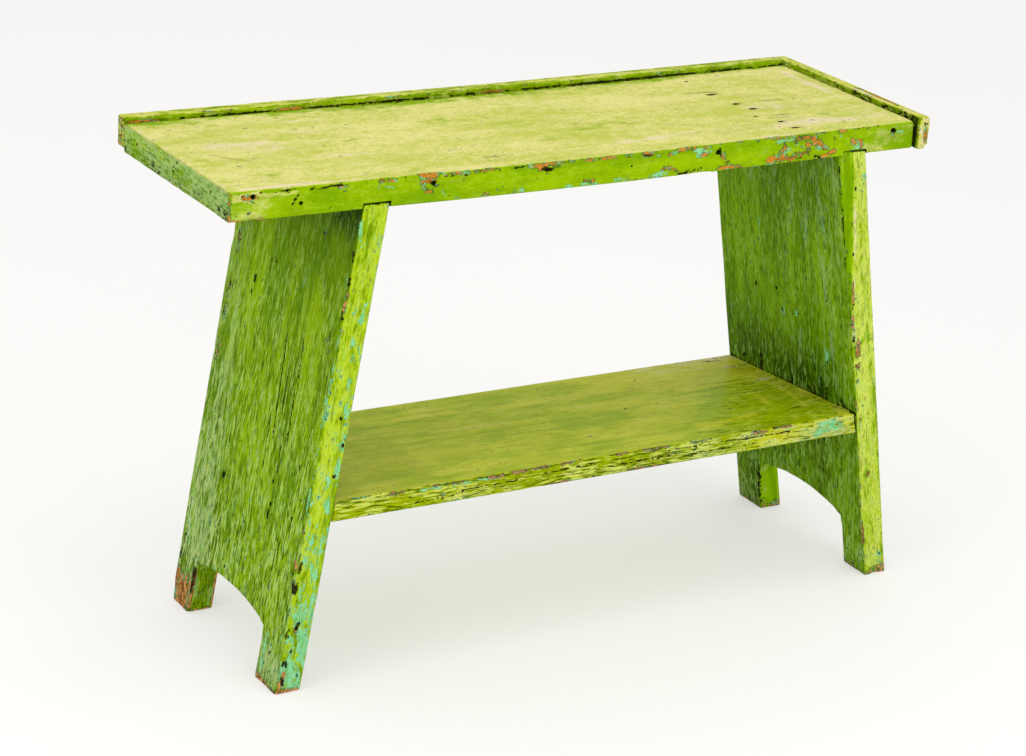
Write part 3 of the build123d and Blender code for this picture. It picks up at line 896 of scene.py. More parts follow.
def shelf_wear(p):
    u, v, w = p.T
    edge = arris(shelf_faces(p))
    top = held(1 - w / 1.5)
    front = held(1 - v / 1.5)
    patchy = drift(p, (24, 6, 6), 23)
    loss = (0.46 + 0.16 * patchy) * held(1 - edge / 3.4) * held(1 - v / 9)
    loss = np.maximum(loss, 0.30 * held(1 - edge / 3) * (v > 290))
    # Chips along the front face's two arrises.
    chips = on_face(1, 0, (
        (790, 3, 812, 3, 2), (690, 2, 712, 2, 2), (470, 26, 500, 26, 2.4),
        (300, 2, 345, 2, 2), (590, 25, 640, 26, 1.8), (826, 1, 850, 1, 2.2),
        (238, 3, 256, 3, 2), (380, 3, 398, 4, 2.6), (414, 2, 436, 2, 2), (446, 1, 466, 1, 2.2),
        (488, 1, 504, 1, 2), (570, 1, 588, 1, 2), (614, 1, 640, 1, 2.4), (644, 1, 660, 1, 2),
    ))
    loss = np.maximum(loss, 0.9 * touched(p, chips))
    loss = np.maximum(loss, 0.8 * marked(p, 2, 0, ((908, 290, 930, 286, 2),)))
    blue = front * 0.16 + 0.10 * drift(p, (70, 18, 18), 25)
    blue += 0.56 * marked(p, 1, 0, ((898, 15, 925, 8, 6), (905, 6, 935, 14, 5),
                                   (866, 10, 882, 12, 3), (277, 5, 385, 5, 2)))
    mist = front * np.clip(0.34 + (u - 640) / 700, 0.3, 0.7)
    # Painted sheen paler left of a slanting line; rubbed paler in strokes and at the right end.
    painted_sheen = held(0.5 - (u - 691 - (v + 15) * 0.856) / 70)
    rubbed = marked(p, 2, 0, (
        (800, 192, 955, 187, 3.4), (891, 135, 878, 92, 10), (741, 44, 830, 58, 10),
        (936, 142, 921, 54, 3.2), (385, 250, 470, 244, 2.6), (400, 180, 520, 170, 2.6),
        (600, 190, 720, 176, 2.6), (480, 120, 560, 112, 2.6), (850, 270, 940, 250, 4),
    ))
    ends = held((u - 934 + 0.07 * v) / 12)
    cloud = drift(p, (90, 34, 20), 26)
    fade = top * (0.58 * painted_sheen + 0.10 * cloud + 0.95 * rubbed + 1.15 * ends * (0.7 + 0.5 * patchy))
    rear = held((v - 200) / 90) * held((u - 640) / 120)
    fade = np.maximum(fade, top * (0.5 + 0.8 * rear + 0.1 * cloud) * (rear > 0))
    fade = np.maximum(fade, front * np.clip(0.20 + (u - 700) / 190, 0.20, 1.12))
    fade = np.maximum(fade, top * (0.95 + 0.2 * patchy) * held(1 - edge / 4) * (v < 20))
    grain = top * (0.20 + 0.36 * (1 - painted_sheen)) + 0.85 * front + 0.4 * (v > 303) + 0.3 * (w > 26)
    # Dirt in the front scratches, and a dark band in the seam against the right leg.
    soil = 0.54 * held(1 - edge / 2.5) * (patchy > 0.0) * (v < 10)
    soil = np.maximum(soil, 0.8 * marked(p, 1, 0, (
        (340, 14, 420, 13, 1.2), (460, 9, 540, 9, 1.2), (560, 16, 660, 15, 1.2),
        (640, 8, 720, 8, 1), (690, 18, 790, 17, 1.2), (760, 10, 850, 9, 1.2),
        (270, 20, 330, 19, 1),
    )))
    soil = np.maximum(soil, top * 0.62 * held(1 - np.abs(u - 958.5 + 0.083 * v) / 5))
    # Darker: a painted reflection of the leg on the right, painted shade at the left end, the
    # front to the left.
    stain = 0.30 * held(-cloud) * (1 - painted_sheen) + 0.10 * top * (u < 330)
    stain += front * np.clip(0.42 - (u - 640) / 400, 0, 0.42)
    soil = np.maximum(soil, 0.6 * marked(p, 2, 0, (
        (915, 291, 924, 290, 2.4), (931, 286, 936, 285, 2), (880, 178, 940, 172, 1.6),
        (770, 95, 820, 92, 1.4), (860, 62, 930, 58, 1.6), (700, 30, 760, 24, 1.4),
    )))
    return {"loss": loss, "blue": blue, "mist": mist, "fade": fade, "grain": grain,
            "soil": soil, "stain": stain}


shelf_paint = chipped_paint(
    "shelf_board_paint", (tint(160, 182, 0), tint(178, 196, 0)),
    (tint(198, 203, 20), tint(214, 212, 60)), tint(214, 222, 104), 0.32, specular=0.028,
    streak=0.9, relief=0.35, fleck=(0.018, 0.0024), brush=(0.22, 0.014),
    blotch=(0.05, 0.026), uneven=0.45, wood=(tint(84, 58, 30), tint(172, 132, 84)))
# Its ends slant, so its lines are first ruled as shares of its length.
lines = ruled((0, 8, SHELF_RULE - 8, SHELF_RULE), (1.6, 3.4, 1.6)) / SHELF_RULE
across = ruled((0, 8, SHELF_STOP, 16, 298, SHELF_DEPTH), (1.1, 2, 1, 3.6, 1.4))
through = ruled((0, 5, SHELF_THICK - 5, SHELF_THICK), (1.1, 2.2, 1.1))
share, v, w, grid_quads = lattice(lines, across, through)
left_end, right_end = shelf_ends(v, w)
u = left_end + (right_end - left_end) * share
grid_points = weathered(np.stack([u, v, w], 1), shelf_faces, 2.0, SHELF_BITES, 0.4, 27)
shelf_mesh = carved("shelf_board", grid_points, grid_quads, SHELF_SCARS)
piece_of("shelf_board", shelf_mesh, shelf_to_world, shelf_wear, shelf_paint, "shelf")

# ---------------------------------------------------------------- shelf nails
# Cut iron nails driven through each leg into the shelf's end, four to a side.
# Their hammered heads lie flush in the legs' outer faces and were painted over with them.

HEAD_SIZE = (0.0065, 0.0045, 0.0016)
SHANK_SIZE = (0.0036, 0.0026)
TIP_SHARE = 0.39
NAIL_TWIST = 0.08
DENT_SCALE = 420.0
DENT_DEPTH = 5e-4
SHELF_NAIL_LENGTH = 65


def nail_tree():
    """Geometry nodes that stand a cut nail at each point given, driven down its own -Z."""
    tree = bpy.data.node_groups.new("cut_nails", "GeometryNodeTree")
    sockets = {}
    for label, kind in (("Heads", "Geometry"), ("Length", "Float"), ("Head Size", "Vector"),
                        ("Shank Size", "Vector"), ("Tip Share", "Float"), ("Driven", "Vector"),
                        ("Seed", "Int"), ("Iron", "Material")):
        sockets[label] = tree.interface.new_socket(label, in_out="INPUT",
                                                   socket_type="NodeSocket" + kind)
    tree.interface.new_socket("Nails", in_out="OUTPUT", socket_type="NodeSocketGeometry")
    nodes = Shade(tree)
    given = {label: nodes.node("NodeGroupInput", output=label) for label in sockets}
    height = nodes.node("SeparateXYZ", {}, {"Vector": given["Head Size"]}, "Z")
    place = nodes.node("GeometryNodeInputPosition")
    level = nodes.node("SeparateXYZ", {}, {"Vector": place}, "Z")

    # The head, its upper half marked for the paint left on it.
    head = {"Size": given["Head Size"], "Vertices X": 6, "Vertices Y": 5, "Vertices Z": 3}
    head = nodes.node("GeometryNodeMeshCube", {}, head)
    struck = nodes.node("CombineXYZ", {}, {"Z": height * -0.5})
    upper = level.worked("GREATER_THAN", level, 0.0)
    coated = {"data_type": "FLOAT", "domain": "POINT"}
    head = nodes.node("GeometryNodeStoreNamedAttribute", coated,
                      {"Geometry": head, "Name": "coated", "Value": upper})
    head = nodes.node("GeometryNodeTransform", {}, {"Geometry": head, "Translation": struck})

    # The shank, tapered on two sides towards its tip.
    span = nodes.node("SeparateXYZ", {}, {"Vector": given["Shank Size"]}, "X")
    deep = nodes.node("SeparateXYZ", {}, {"Vector": given["Shank Size"]}, "Y")
    size = nodes.node("CombineXYZ", {}, {"X": span, "Y": deep, "Z": given["Length"] - height})
    shank = {"Size": size, "Vertices X": 2, "Vertices Y": 2, "Vertices Z": 7}
    shank = nodes.node("GeometryNodeMeshCube", {}, shank)
    part = level.worked("DIVIDE", level, given["Length"] - height) + 0.5
    narrow = given["Tip Share"] + part * (1 - given["Tip Share"])
    across = nodes.node("SeparateXYZ", {}, {"Vector": place}, "X")
    moved = nodes.node("CombineXYZ", {}, {"X": across * (narrow - 1)})
    shank = nodes.node("GeometryNodeSetPosition", {}, {"Geometry": shank, "Offset": moved})
    drop = nodes.node("CombineXYZ", {}, {"Z": (given["Length"] + height) * -0.5})
    shank = nodes.node("GeometryNodeTransform", {}, {"Geometry": shank, "Translation": drop})

    # Both together at every point, each nail a little turned and dented.
    nail = nodes.node("GeometryNodeJoinGeometry", {}, {"Geometry": head})
    tree.links.new(shank.socket, nail.socket.node.inputs["Geometry"])
    turned = {"Points": given["Heads"], "Instance": nail, "Rotation": given["Driven"]}
    nails = nodes.node("GeometryNodeInstanceOnPoints", {}, turned)
    twist = {"Min": (0, 0, -NAIL_TWIST), "Max": (0, 0, NAIL_TWIST), "Seed": given["Seed"]}
    twist = nodes.node("FunctionNodeRandomValue", {"data_type": "FLOAT_VECTOR"}, twist)
    nails = nodes.node("GeometryNodeRotateInstances", {},
                       {"Instances": nails, "Rotation": twist, "Local Space": True})
    nails = nodes.node("GeometryNodeRealizeInstances", {}, {"Geometry": nails})
    dents = nodes.node("TexNoise", {}, {"Scale": DENT_SCALE, "Detail": 1.0}, "Color")
    dents = {0: dents, 1: (DENT_DEPTH,) * 3, 2: (-DENT_DEPTH / 2,) * 3}
    dents = nodes.node("VectorMath", {"operation": "MULTIPLY_ADD"}, dents)
    nails = nodes.node("GeometryNodeSetPosition", {}, {"Geometry": nails, "Offset": dents})
    finish = {"Geometry": nails, "Material": given["Iron"]}
    nails = nodes.node("GeometryNodeSetMaterial", {}, finish)
    nodes.node("NodeGroupOutput", {}, {"Nails": nails})
    return tree, sockets


CUT_NAILS, NAIL_SOCKETS = nail_tree()


def driven_nails(name, heads, length, driven, seed, material, node):
    """Nails as one plain mesh: the tops of their heads at these places in millimetres, and
    each turned by these angles from pointing straight down."""
    mesh = bpy.data.meshes.new(name)
    mesh.from_pydata([tuple(c / 1000 for c in head) for head in heads], [], [])
    points = bpy.data.objects.new(name + "_heads", mesh)
    bpy.context.collection.objects.link(points)
    build = points.modifiers.new("nails", "NODES")
    build.node_group = CUT_NAILS
    values = {"Length": length / 1000, "Head Size": HEAD_SIZE, "Tip Share": TIP_SHARE,
              "Shank Size": (*SHANK_SIZE, 0.0), "Driven": tuple(map(float, driven)),
              "Seed": seed, "Iron": material}
    for label, value in values.items():
        build[NAIL_SOCKETS[label].identifier] = value
    ready = points.evaluated_get(bpy.context.evaluated_depsgraph_get())
    plain = bpy.data.meshes.new_from_object(ready)
    points.modifiers.remove(build)
    bpy.data.objects.remove(points)
    piece = bpy.data.objects.new(name, plain)
    bpy.context.collection.objects.link(piece)
    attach(piece, "root")
    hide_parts(node)
    return piece


def painted_iron(name, paint, cover):
    """Rusted iron, with paint left on the tops of the heads."""
    material = bpy.data.materials.new(name)
    material.use_nodes = True
    material.node_tree.nodes.clear()
    nodes = Shade(material.node_tree)
    place = nodes.node("TexCoord", output="Object")
    pitted = place.figure(0.0022, 0.0022, 2, 0.6, 2.7)
    rust = pitted.between(-1.0, 1.0).blend(tint(44, 30, 18), tint(112, 62, 30))
    coated = nodes.node("Attribute", {"attribute_name": "coated"}, output="Fac")
    kept = (coated * 4 + pitted * 0.8).between(4.0 - cover, 4.6 - cover)
    surface = {"Base Color": kept.blend(rust, paint), "Specular IOR Level": 0.2}
    surface["Roughness"] = 0.7 + pitted * 0.05
    bump = {"Strength": 0.6, "Distance": 0.0004, "Height": pitted}
    surface["Normal"] = nodes.node("Bump", {}, bump)
    shader = nodes.node("BsdfPrincipled", {}, surface)
    nodes.node("OutputMaterial", {}, {"Surface": shader})
    return material


def shelf_nail_heads(leg, rows, depth, outer):
    """Where nails enter a leg's outer face, to run square to it and meet the middle of the
    shelf's thickness this deep from the leg's left face."""
    heads = []
    for v in rows:
        middle = SHELF_FRONT_HEIGHT - SHELF_THICK / 2 / math.cos(SHELF_SLOPE)
        middle -= v * math.tan(SHELF_SLOPE)
        u = (middle + depth * math.sin(leg.angle)) / math.cos(leg.angle)
        heads.append(leg.to_world(np.array([[u, v, outer]]))[0])
    return heads


green_iron = painted_iron("shelf_nail_iron", tint(122, 158, 8), 1.2)
left_heads = shelf_nail_heads(left_leg, (45, 128, 200, 268), depth=50.5, outer=0.1)
quarter = math.pi / 2
driven_nails("left_shelf_cut_nails", left_heads, SHELF_NAIL_LENGTH,
             (left_leg.angle - quarter, 0, quarter), 5, green_iron, "left_shelf_nails")
right_heads = shelf_nail_heads(right_leg, (41, 118, 196, 262), depth=14.5, outer=35.9)
driven_nails("right_shelf_cut_nails", right_heads, SHELF_NAIL_LENGTH,
             (quarter - right_leg.angle, 0, quarter), 6, green_iron, "right_shelf_nails")

# ---------------------------------------------------------------- top plank
# The bench's seat for buckets: one thick plank let down over both leg tops and nailed.
# Its front and left end have lost their strips, so their nail holes and chips show there.

PLANK_LONG = 1000.0
PLANK_WIDE = 296.0
PLANK_THICK = 37.0
SAG_DEPTH = 3.4
SAG_SHAPE = 1.4


def sag(u):
    """How far the plank has sunk between its legs."""
    return SAG_DEPTH * np.sin(math.pi * held(u / PLANK_LONG)) ** SAG_SHAPE


def plank_to_world(p):
    u, v, w = p.T
    return np.stack([PLANK_LEFT + u, PLANK_FRONT + v, PLANK_TOP - w], 1)


def plank_faces(p):
    u, v, w = p.T
    sunk = sag(u)
    return np.stack([-u, u - PLANK_LONG, -v, v - PLANK_WIDE, sunk - w, w - sunk - PLANK_THICK])


HOUSING_FOOT = 600.0
HOUSING_ROOF = 631.2
HOUSING_FRONT = -6.0
HOUSING_BACK = 298.0
HOUSING_PLAY = 0.8


def housing_cutter(leg):
    """Cutter for the slot in the plank's underside that a leg's top sits in."""
    corners = []
    for z in (HOUSING_FOOT, HOUSING_ROOF):
        for y in (HOUSING_FRONT, HOUSING_BACK):
            for side in (-HOUSING_PLAY, LEG_THICK / math.cos(leg.angle) + HOUSING_PLAY):
                x = leg.foot_x - PLANK_LEFT + leg.side * z * math.tan(leg.angle) + side
                corners.append((x, y, PLANK_TOP - z))
    faces = [(0, 1, 3, 2), (4, 6, 7, 5), (0, 4, 5, 1), (2, 3, 7, 6), (0, 2, 6, 4), (1, 5, 7, 3)]
    return np.array(corners), faces


TOP_NAIL_ROWS = {194.0: (27, 95, 142, 215, 268), 905.0: (31, 71, 110, 147, 206, 264)}
HEAD_SUNK = 0.3
SEAT_SIZE = (8.2, 6.2)
SEAT_DEPTH = 1.0
NAIL_SEATS = []
for column, rows in TOP_NAIL_ROWS.items():
    for row in rows:
        seat = (column, row, sag(column) + HEAD_SUNK)
        NAIL_SEATS.append(pit(seat, (0, 0, 1), SEAT_SIZE, SEAT_DEPTH, 137 + row))
PLANK_CUTS = (
    *NAIL_SEATS,
    housing_cutter(left_leg),
    housing_cutter(right_leg),
    pit((30.5, 0, 8), (0, 1, 0), (7, 6), 7, 111),
    pit((270, 0, 14.5), (0, 1, 0), (8, 6), 7, 112),
    pit((686, 0, 14), (0, 1, 0), (10, 8), 8, 113),
    pit((965, 0, 9.5), (0, 1, 0), (9, 7), 8, 114),
    pit((431, 0, 13), (0, 1, 0), (14, 6), 3, 115),
    pit((93, 0, 22), (0, 1, 0), (6, 5), 3, 116),
    pit((554, 0, 20), (0, 1, 0), (4, 3), 3, 117),
    pit((0, 258, 16), (1, 0, 0), (4, 4), 6, 118),
    pit((0, 142, 5.5), (1, 0, 0), (4, 4), 6, 119),
    pit((0, 153, 19.5), (1, 0, 0), (4, 4), 6, 120),
    pit((0, 49, 13.2), (1, 0, 0), (4, 4), 6, 121),
    pit((809, 198, 1.8), (0, 0, 1), (17, 7), 3, 122),
    pit((815, 149, 1.7), (0, 0, 1), (12, 8), 3, 123),
    pit((823, 121, 1.6), (0, 0, 1), (12, 7), 3, 124),
    pit((805, 90, 1.8), (0, 0, 1), (7, 4), 2, 125),
    pit((814, 265, 1.5), (0, 0, 1), (7, 5), 2, 126),
    pit((823, 59, 1.5), (0, 0, 1), (9, 5), 3, 127),
    pit((825, 29, 1.5), (0, 0, 1), (13, 5), 3, 128),
    split((44, 142, 0.6), (78, 108, 0.9), (0, 0, 1), 1.1, 2, 130),
    split((446, 197, 3.3), (486, 187, 3.4), (0, 0, 1), 1.1, 2, 131),
    split((458, 168, 3.3), (480, 161, 3.4), (0, 0, 1), 1.1, 2, 132),
    split((826, 88, 1.6), (858, 84, 1.4), (0, 0, 1), 1.2, 2, 133),
    split((818, 76, 1.6), (850, 74, 1.4), (0, 0, 1), 0.9, 2, 134),
    split((856, 152, 1.3), (890, 144, 1.1), (0, 0, 1), 1.1, 2, 135),
    split((790, 212, 1.8), (822, 208, 1.7), (0, 0, 1), 0.9, 2, 136),
)
PLANK_BITES = (
    ((655, 0, 42.5), (50, 12, 6.5), 141), ((712, 0, 40), (16, 6, 3), 142),
    ((262, 0, 14), (11, 1.4, 9), 143), ((430, 0, 10), (13, 1.4, 5), 144),
    ((604, 0, 36), (24, 1.5, 5), 145), ((814, 0, 37), (10, 4, 5), 146),
    ((846, 0, 37), (8, 4, 5), 147), ((830, 0, 12), (24, 1.2, 10), 148),
    ((345, 0, 4), (20, 3, 3), 149), ((636, 0, 5), (16, 3, 3), 150),
    ((905, 0, 17), (12, 1.3, 4), 151), ((70, 0, 4), (32, 5, 4), 152),
    ((210, 0, 4), (10, 2.5, 3), 153), ((540, 0, 40), (9, 3, 2), 154),
)

# Strokes on the plank's front: where it is bare, and where turquoise shows beside that.
FRONT_BARE = (
    (20, 9, 34, 9, 4), (142, 6, 154, 7, 2), (196, 5, 216, 6, 2.8), (253, 4, 276, 6, 4.4),
    (256, 12, 272, 14, 5.5), (258, 20, 267, 24, 3.5), (286, 7, 320, 5, 2.4),
    (320, 5, 362, 5, 2.4), (403, 6, 470, 6, 2), (420, 10, 446, 11, 4.2), (428, 16, 433, 18, 2.5),
    (480, 6, 528, 6, 2.2), (544, 5, 560, 6, 2.2), (569, 6, 584, 7, 3), (609, 9, 618, 9, 2.6),
    (625, 6, 648, 4, 3.2), (663, 5, 675, 4, 2.4), (660, 16, 670, 15, 2.2),
    (693, 20, 699, 29, 3.4), (689, 35, 721, 36, 3.2), (601, 28, 610, 27, 2.6),
    (610, 27, 624, 33, 2.4), (688, 3, 794, 3, 2), (768, 31, 802, 33, 4.4),
    (802, 33, 812, 28, 4.4), (786, 28, 789, 14, 3.6), (816, 29, 830, 24, 4.4),
    (830, 24, 826, 14, 3.4), (806, 11, 814, 7, 3.4), (814, 7, 832, 8, 4.6),
    (832, 8, 844, 17, 4.6), (844, 17, 857, 25, 3.8), (854, 34, 870, 29, 3.6),
    (868, 12, 869, 13, 3), (800, 3, 941, 1, 1.8), (876, 3, 886, 4, 2.8), (895, 15, 902, 21, 2.8),
    (902, 21, 913, 18, 2.6), (913, 18, 915, 29, 2.6), (963, 14, 966, 16, 2.6),
    (0, 2, 0, 37, 2.6), (0, 37, 44, 37, 2.4), (484, 32, 500, 34, 2.2), (340, 36, 352, 36, 2),
    (688, 1.5, 794, 1.5, 2.4),
)
FRONT_TURQUOISE = (
    (193, 12, 214, 14, 3), (284, 26, 286, 31, 2.6), (300, 37, 316, 37, 3.2),
    (338, 37, 362, 36, 3), (384, 36, 410, 35, 3.2), (448, 38, 468, 38, 3.2),
    (482, 37, 503, 38, 3.4), (528, 36, 548, 36, 3.2), (591, 8, 604, 7, 4.6), (648, 9, 662, 7, 4),
    (650, 18, 664, 12, 4), (664, 13, 684, 14, 4.4), (581, 35, 616, 33, 4.6),
    (779, 9, 801, 8, 4.4), (793, 21, 803, 16, 4.2), (803, 16, 825, 11, 4.6),
    (840, 23, 850, 27, 3.4), (877, 9, 886, 8, 3), (889, 25, 901, 30, 4), (901, 30, 911, 26, 4.4),
    (966, 4, 970, 5, 3.6), (974, 12, 984, 13, 3), (260, 8, 262, 10, 3),
)


def plank_wear(p):
    u, v, w = p.T
    faces = plank_faces(p)
    edge = arris(faces)
    top = held(1 + faces[4] / 1.5)
    front = held(1 - v / 1.5)
    end = held(1 - u / 1.5)
    patchy = drift(p, (28, 8, 8), 33)
    loss = (0.38 + 0.16 * patchy) * held(1 - edge / 2.8) * (v < 12)
    loss = np.maximum(loss, 0.36 * held(1 - edge / 3) * (w > 25))
    loss = np.maximum(loss, 0.44 * end * held(1 - edge / 2.5))
    loss = np.maximum(loss, 0.80 * marked(p, 1, 0, FRONT_BARE))
    loss = np.maximum(loss, 0.8 * marked(p, 2, 3, (
        (10, 295, 60, 296, 2), (100, 295, 170, 296, 1.6), (240, 295, 300, 296, 1.4),
        (364, 41, 407, 41, 1.6),
    )))
    blue = 0.18 * front * (u < 14) + 0.10 * end + 0.06 * patchy * (1 - top)
    blue = np.maximum(blue, 0.615 * marked(p, 1, 0, FRONT_TURQUOISE))
    mist = end * (0.78 + 0.2 * patchy)
    # The top is rubbed all over, and to cream in strokes along its arrises and middle.
    large = drift(p, (260, 80, 30), 35)
    small = drift(p, (60, 22, 20), 36)
    warm = held((u - 600) / 250)
    fade = top * (0.94 + 0.10 * large + 0.08 * small + 0.14 * warm)
    cream = marked(p, 2, 1, (
        (66, 178, 150, 152, 34), (180, 252, 216, 248, 7), (182, 205, 212, 202, 7),
        (182, 158, 218, 154, 9), (165, 104, 230, 98, 11), (300, 190, 320, 188, 5),
        (150, 268, 176, 264, 6), (196, 32, 226, 28, 7),
        (560, 45, 690, 53, 12), (760, 50, 980, 40, 26), (820, 130, 960, 90, 26),
        (20, 6, 420, 8, 5), (500, 8, 820, 6, 5), (4, 20, 4, 270, 4),
        (214, 104, 224, 102, 6), (975, 20, 975, 280, 9),
    ))
    fade = np.maximum(fade, top * (0.8 + 0.75 * cream))
    fade = fade * np.clip((318 - v) / 50, 0.5, 1)
    sunny = held((u - 880) / 60) + held(1 - u / 90)
    fade = np.maximum(fade, front * (0.14 + 0.12 * patchy + 0.40 * sunny))
    fade = np.maximum(fade, front * 1.3 * marked(p, 1, 0, (
        (32, 3, 84, 5, 4.2), (8, 9, 20, 8, 4),
    )))
    fade = np.maximum(fade, 1.05 * end * held(1.3 - w / 4))
    grain = 0.06 * top + 0.04 * front + 0.52 * end
    # Dirt on the left end, in the holes, dents and scratches, and along the rims.
    low_end = end * held((w - 12) / 20)
    soil = 0.40 * low_end + 0.22 * end * held(patchy)
    soil = np.maximum(soil, 0.36 * front * held(1 - u / 120) * (patchy > 0))
    soil = np.maximum(soil, 0.8 * marked(p, 1, 0, (
        (30, 8, 31, 8, 3), (270, 14, 271, 15, 3.4), (685, 13, 687, 15, 4.4),
        (965, 9, 966, 10, 4), (426, 12, 436, 13, 3.4), (92, 21, 94, 22, 3.2),
        (313, 8, 315, 9, 2.2), (339, 9, 340, 9, 2.2), (868, 12, 869, 13, 1.4),
        (812, 34, 816, 36, 3.4), (841, 34, 847, 37, 3.4), (84, 1, 90, 14, 2),
        (88, 12, 82, 22, 1.8), (40, 4, 84, 4, 1.8), (104, 6, 150, 5, 1.6), (380, 6, 402, 6, 1.6),
        (286, 8, 300, 8, 1.2), (569, 8, 584, 9, 1.2), (626, 37, 661, 34, 2),
    )))
    soil = np.maximum(soil, 0.74 * marked(p, 1, 3, (
        (38, 6, 84, 7, 2.4), (84, 2, 90, 14, 2.4), (90, 14, 84, 24, 2),
        (110, 5, 190, 5, 1.8), (196, 4, 250, 4, 1.8),
    )) * (0.8 + 0.5 * patchy))
    soil = np.maximum(soil, 0.7 * marked(p, 2, 2, (
        (803, 198, 815, 198, 2.6), (811, 148, 819, 148, 2.6), (819, 120, 827, 120, 2.2),
        (836, 86, 848, 86, 1.4), (820, 57, 827, 57, 2), (821, 28, 829, 28, 2),
        (450, 197, 483, 187, 1.2), (461, 168, 476, 161, 1.2), (56, 130, 70, 113, 1.6),
    )))
    back = (v > 286) * (w < 9) * held((u - 180) / 60)
    back = back * held((v - 288) / 6)
    soil = np.maximum(soil, back * (0.56 + 0.3 * drift(p, (18, 6, 6), 39)))
    soil = np.maximum(soil, top * 0.72 * held((u - 993) / 5))
    stain = 0.32 * front * held(patchy) + 0.34 * low_end + 0.12 * end
    stain += 0.10 * top * held(-small - 0.2)
    # Darker green round the dents over the right leg and beside the cracks.
    knots = marked(p, 2, 2, (
        (806, 199, 818, 199, 5), (812, 149, 822, 149, 5), (820, 121, 830, 121, 4.5),
        (834, 87, 860, 85, 4), (820, 76, 850, 74, 3), (802, 90, 810, 90, 3.5),
        (822, 59, 830, 58, 4), (820, 29, 836, 28, 4), (896, 71, 906, 71, 4),
        (780, 213, 822, 208, 4), (44, 142, 78, 108, 3), (856, 152, 892, 144, 3),
    ))
    stain = np.maximum(stain, 0.42 * top * held(1.6 * knots - 0.4))
    sideways = np.where(end[:, None] > 0.5, p[:, [1, 0, 2]], p)
    return {"board": sideways, "loss": loss, "blue": blue, "mist": mist, "fade": fade,
            "grain": grain, "soil": soil, "stain": stain}


plank_paint = chipped_paint(
    "top_plank_paint", (tint(120, 162, 0), tint(152, 188, 0)),
    (tint(190, 198, 84), tint(226, 219, 138)), tint(226, 226, 152), 0.6, streak=0.9,
    relief=0.6, brush=(0.10, 0.030), blotch=(0.022, 0.015), uneven=0.5)
lines = ruled((0, 8, 992, PLANK_LONG), (1.2, 3.1, 1.4))
across = ruled((0, 10, 288, PLANK_WIDE), (1.1, 3.6, 1.6))
through = ruled((0, PLANK_THICK), (1.9,))
u, v, w, grid_quads = lattice(lines, across, through)
grid_points = np.stack([u, v, w + sag(u)], 1)
plank_radius = 2.4 + 1.6 * np.exp(-((v / 8) ** 2) - (w / 8) ** 2)
grid_points = weathered(grid_points, plank_faces, plank_radius, PLANK_BITES, 0.5, 37)
plank_mesh = carved("top_plank_board", grid_points, grid_quads, PLANK_CUTS)
piece_of("top_plank_board", plank_mesh, plank_to_world, plank_wear, plank_paint, "top_plank")

# ---------------------------------------------------------------- top nails
# Longer cut nails driven down through the plank into the end grain of each leg.
# Their painted heads lie just under the worn top, each in a shallow seat.

TOP_NAIL_LENGTH = 70
pale_iron = painted_iron("top_nail_iron", tint(206, 212, 104), 1.0)
for (u, rows), side, seed in zip(TOP_NAIL_ROWS.items(), ("left", "right"), (7, 8)):
    heads = [(PLANK_LEFT + u, PLANK_FRONT + v, PLANK_TOP - sag(u) - HEAD_SUNK) for v in rows]
    driven_nails(side + "_top_cut_nails", heads, TOP_NAIL_LENGTH, (0, 0, 0), seed, pale_iron,
                 side + "_top_nails")

# ---------------------------------------------------------------- back rim
# A strip nailed along the plank's back edge so that its top stands a little proud.
# Painted with the bench, then rubbed bare and pale along its top arrises.

RIM_PROUD = 7.0
RIM_SAG = 0.6
BACK_RIM_WIDE = 21.0
BACK_RIM_TALL = 40.0


def back_rim_to_world(p):
    u, v, w = p.T
    return np.stack([PLANK_LEFT + u, PLANK_FRONT + PLANK_WIDE + v, PLANK_TOP + RIM_PROUD - w], 1)


def rim_faces(long, wide, tall, sunk=0.0):
    """Face distances of a rim strip, sunk in the middle with the plank it is nailed to."""

    def faces(p):
        u, v, w = p.T
        drop = sunk * sag(u)
        return np.stack([-u, u - long, -v, v - wide, drop - w, w - drop - tall])

    return faces


back_faces = rim_faces(PLANK_LONG, BACK_RIM_WIDE, BACK_RIM_TALL, RIM_SAG)


def back_rim_wear(p):
    u, v, w = p.T
    faces = back_faces(p)
    edge = arris(faces)
    patchy = drift(p, (34, 9, 9), 43)
    top = held(1 + faces[4] / 1.5)
    end = held(1 - u / 1.5)
    foot = w - RIM_SAG * sag(u)
    loss = (0.38 + 0.16 * patchy) * held(1 - edge / 3.6)
    # Bare wood in four stretches just above the plank's top.
    orange = np.exp(-(((foot - 6.3) / 1.9) ** 2)) * (v < 3)
    along = np.zeros(len(u))
    for low, high in ((8, 37), (45, 55), (215, 236), (512, 534)):
        along = np.maximum(along, held(1.5 - np.abs(u - (low + high) / 2) / (high - low)))
    loss = np.maximum(loss, 0.9 * orange * along)
    mist = 0.03 + 0.08 * patchy
    grain = 0.30 + 0.2 * patchy
    fade = top * (0.85 + 0.2 * patchy) * held(1.15 - u / 1700) + 1.1 * end
    # Dirt in the seam along the plank's top, and on the left end.
    line = held(1.15 - np.abs(foot - 7.0) / 2.8) * (v < 3) * held((u - 56) / 10)
    soil = line * (0.82 + 0.30 * drift(p, (26, 9, 9), 44)) * (along < 0.6)
    soil = np.maximum(soil, 0.34 * held(patchy) * top)
    soil = np.maximum(soil, end * (0.40 + 0.55 * held(1 - edge / 3)))
    stain = 0.38 * (v < 3) * held(patchy + 0.6) * (foot > 2) + 0.2 * end
    loss = np.maximum(loss, end * (0.58 + 0.16 * patchy))
    return {"loss": loss, "blue": 0.1 * patchy, "mist": mist, "fade": fade, "grain": grain,
            "soil": soil, "stain": stain}


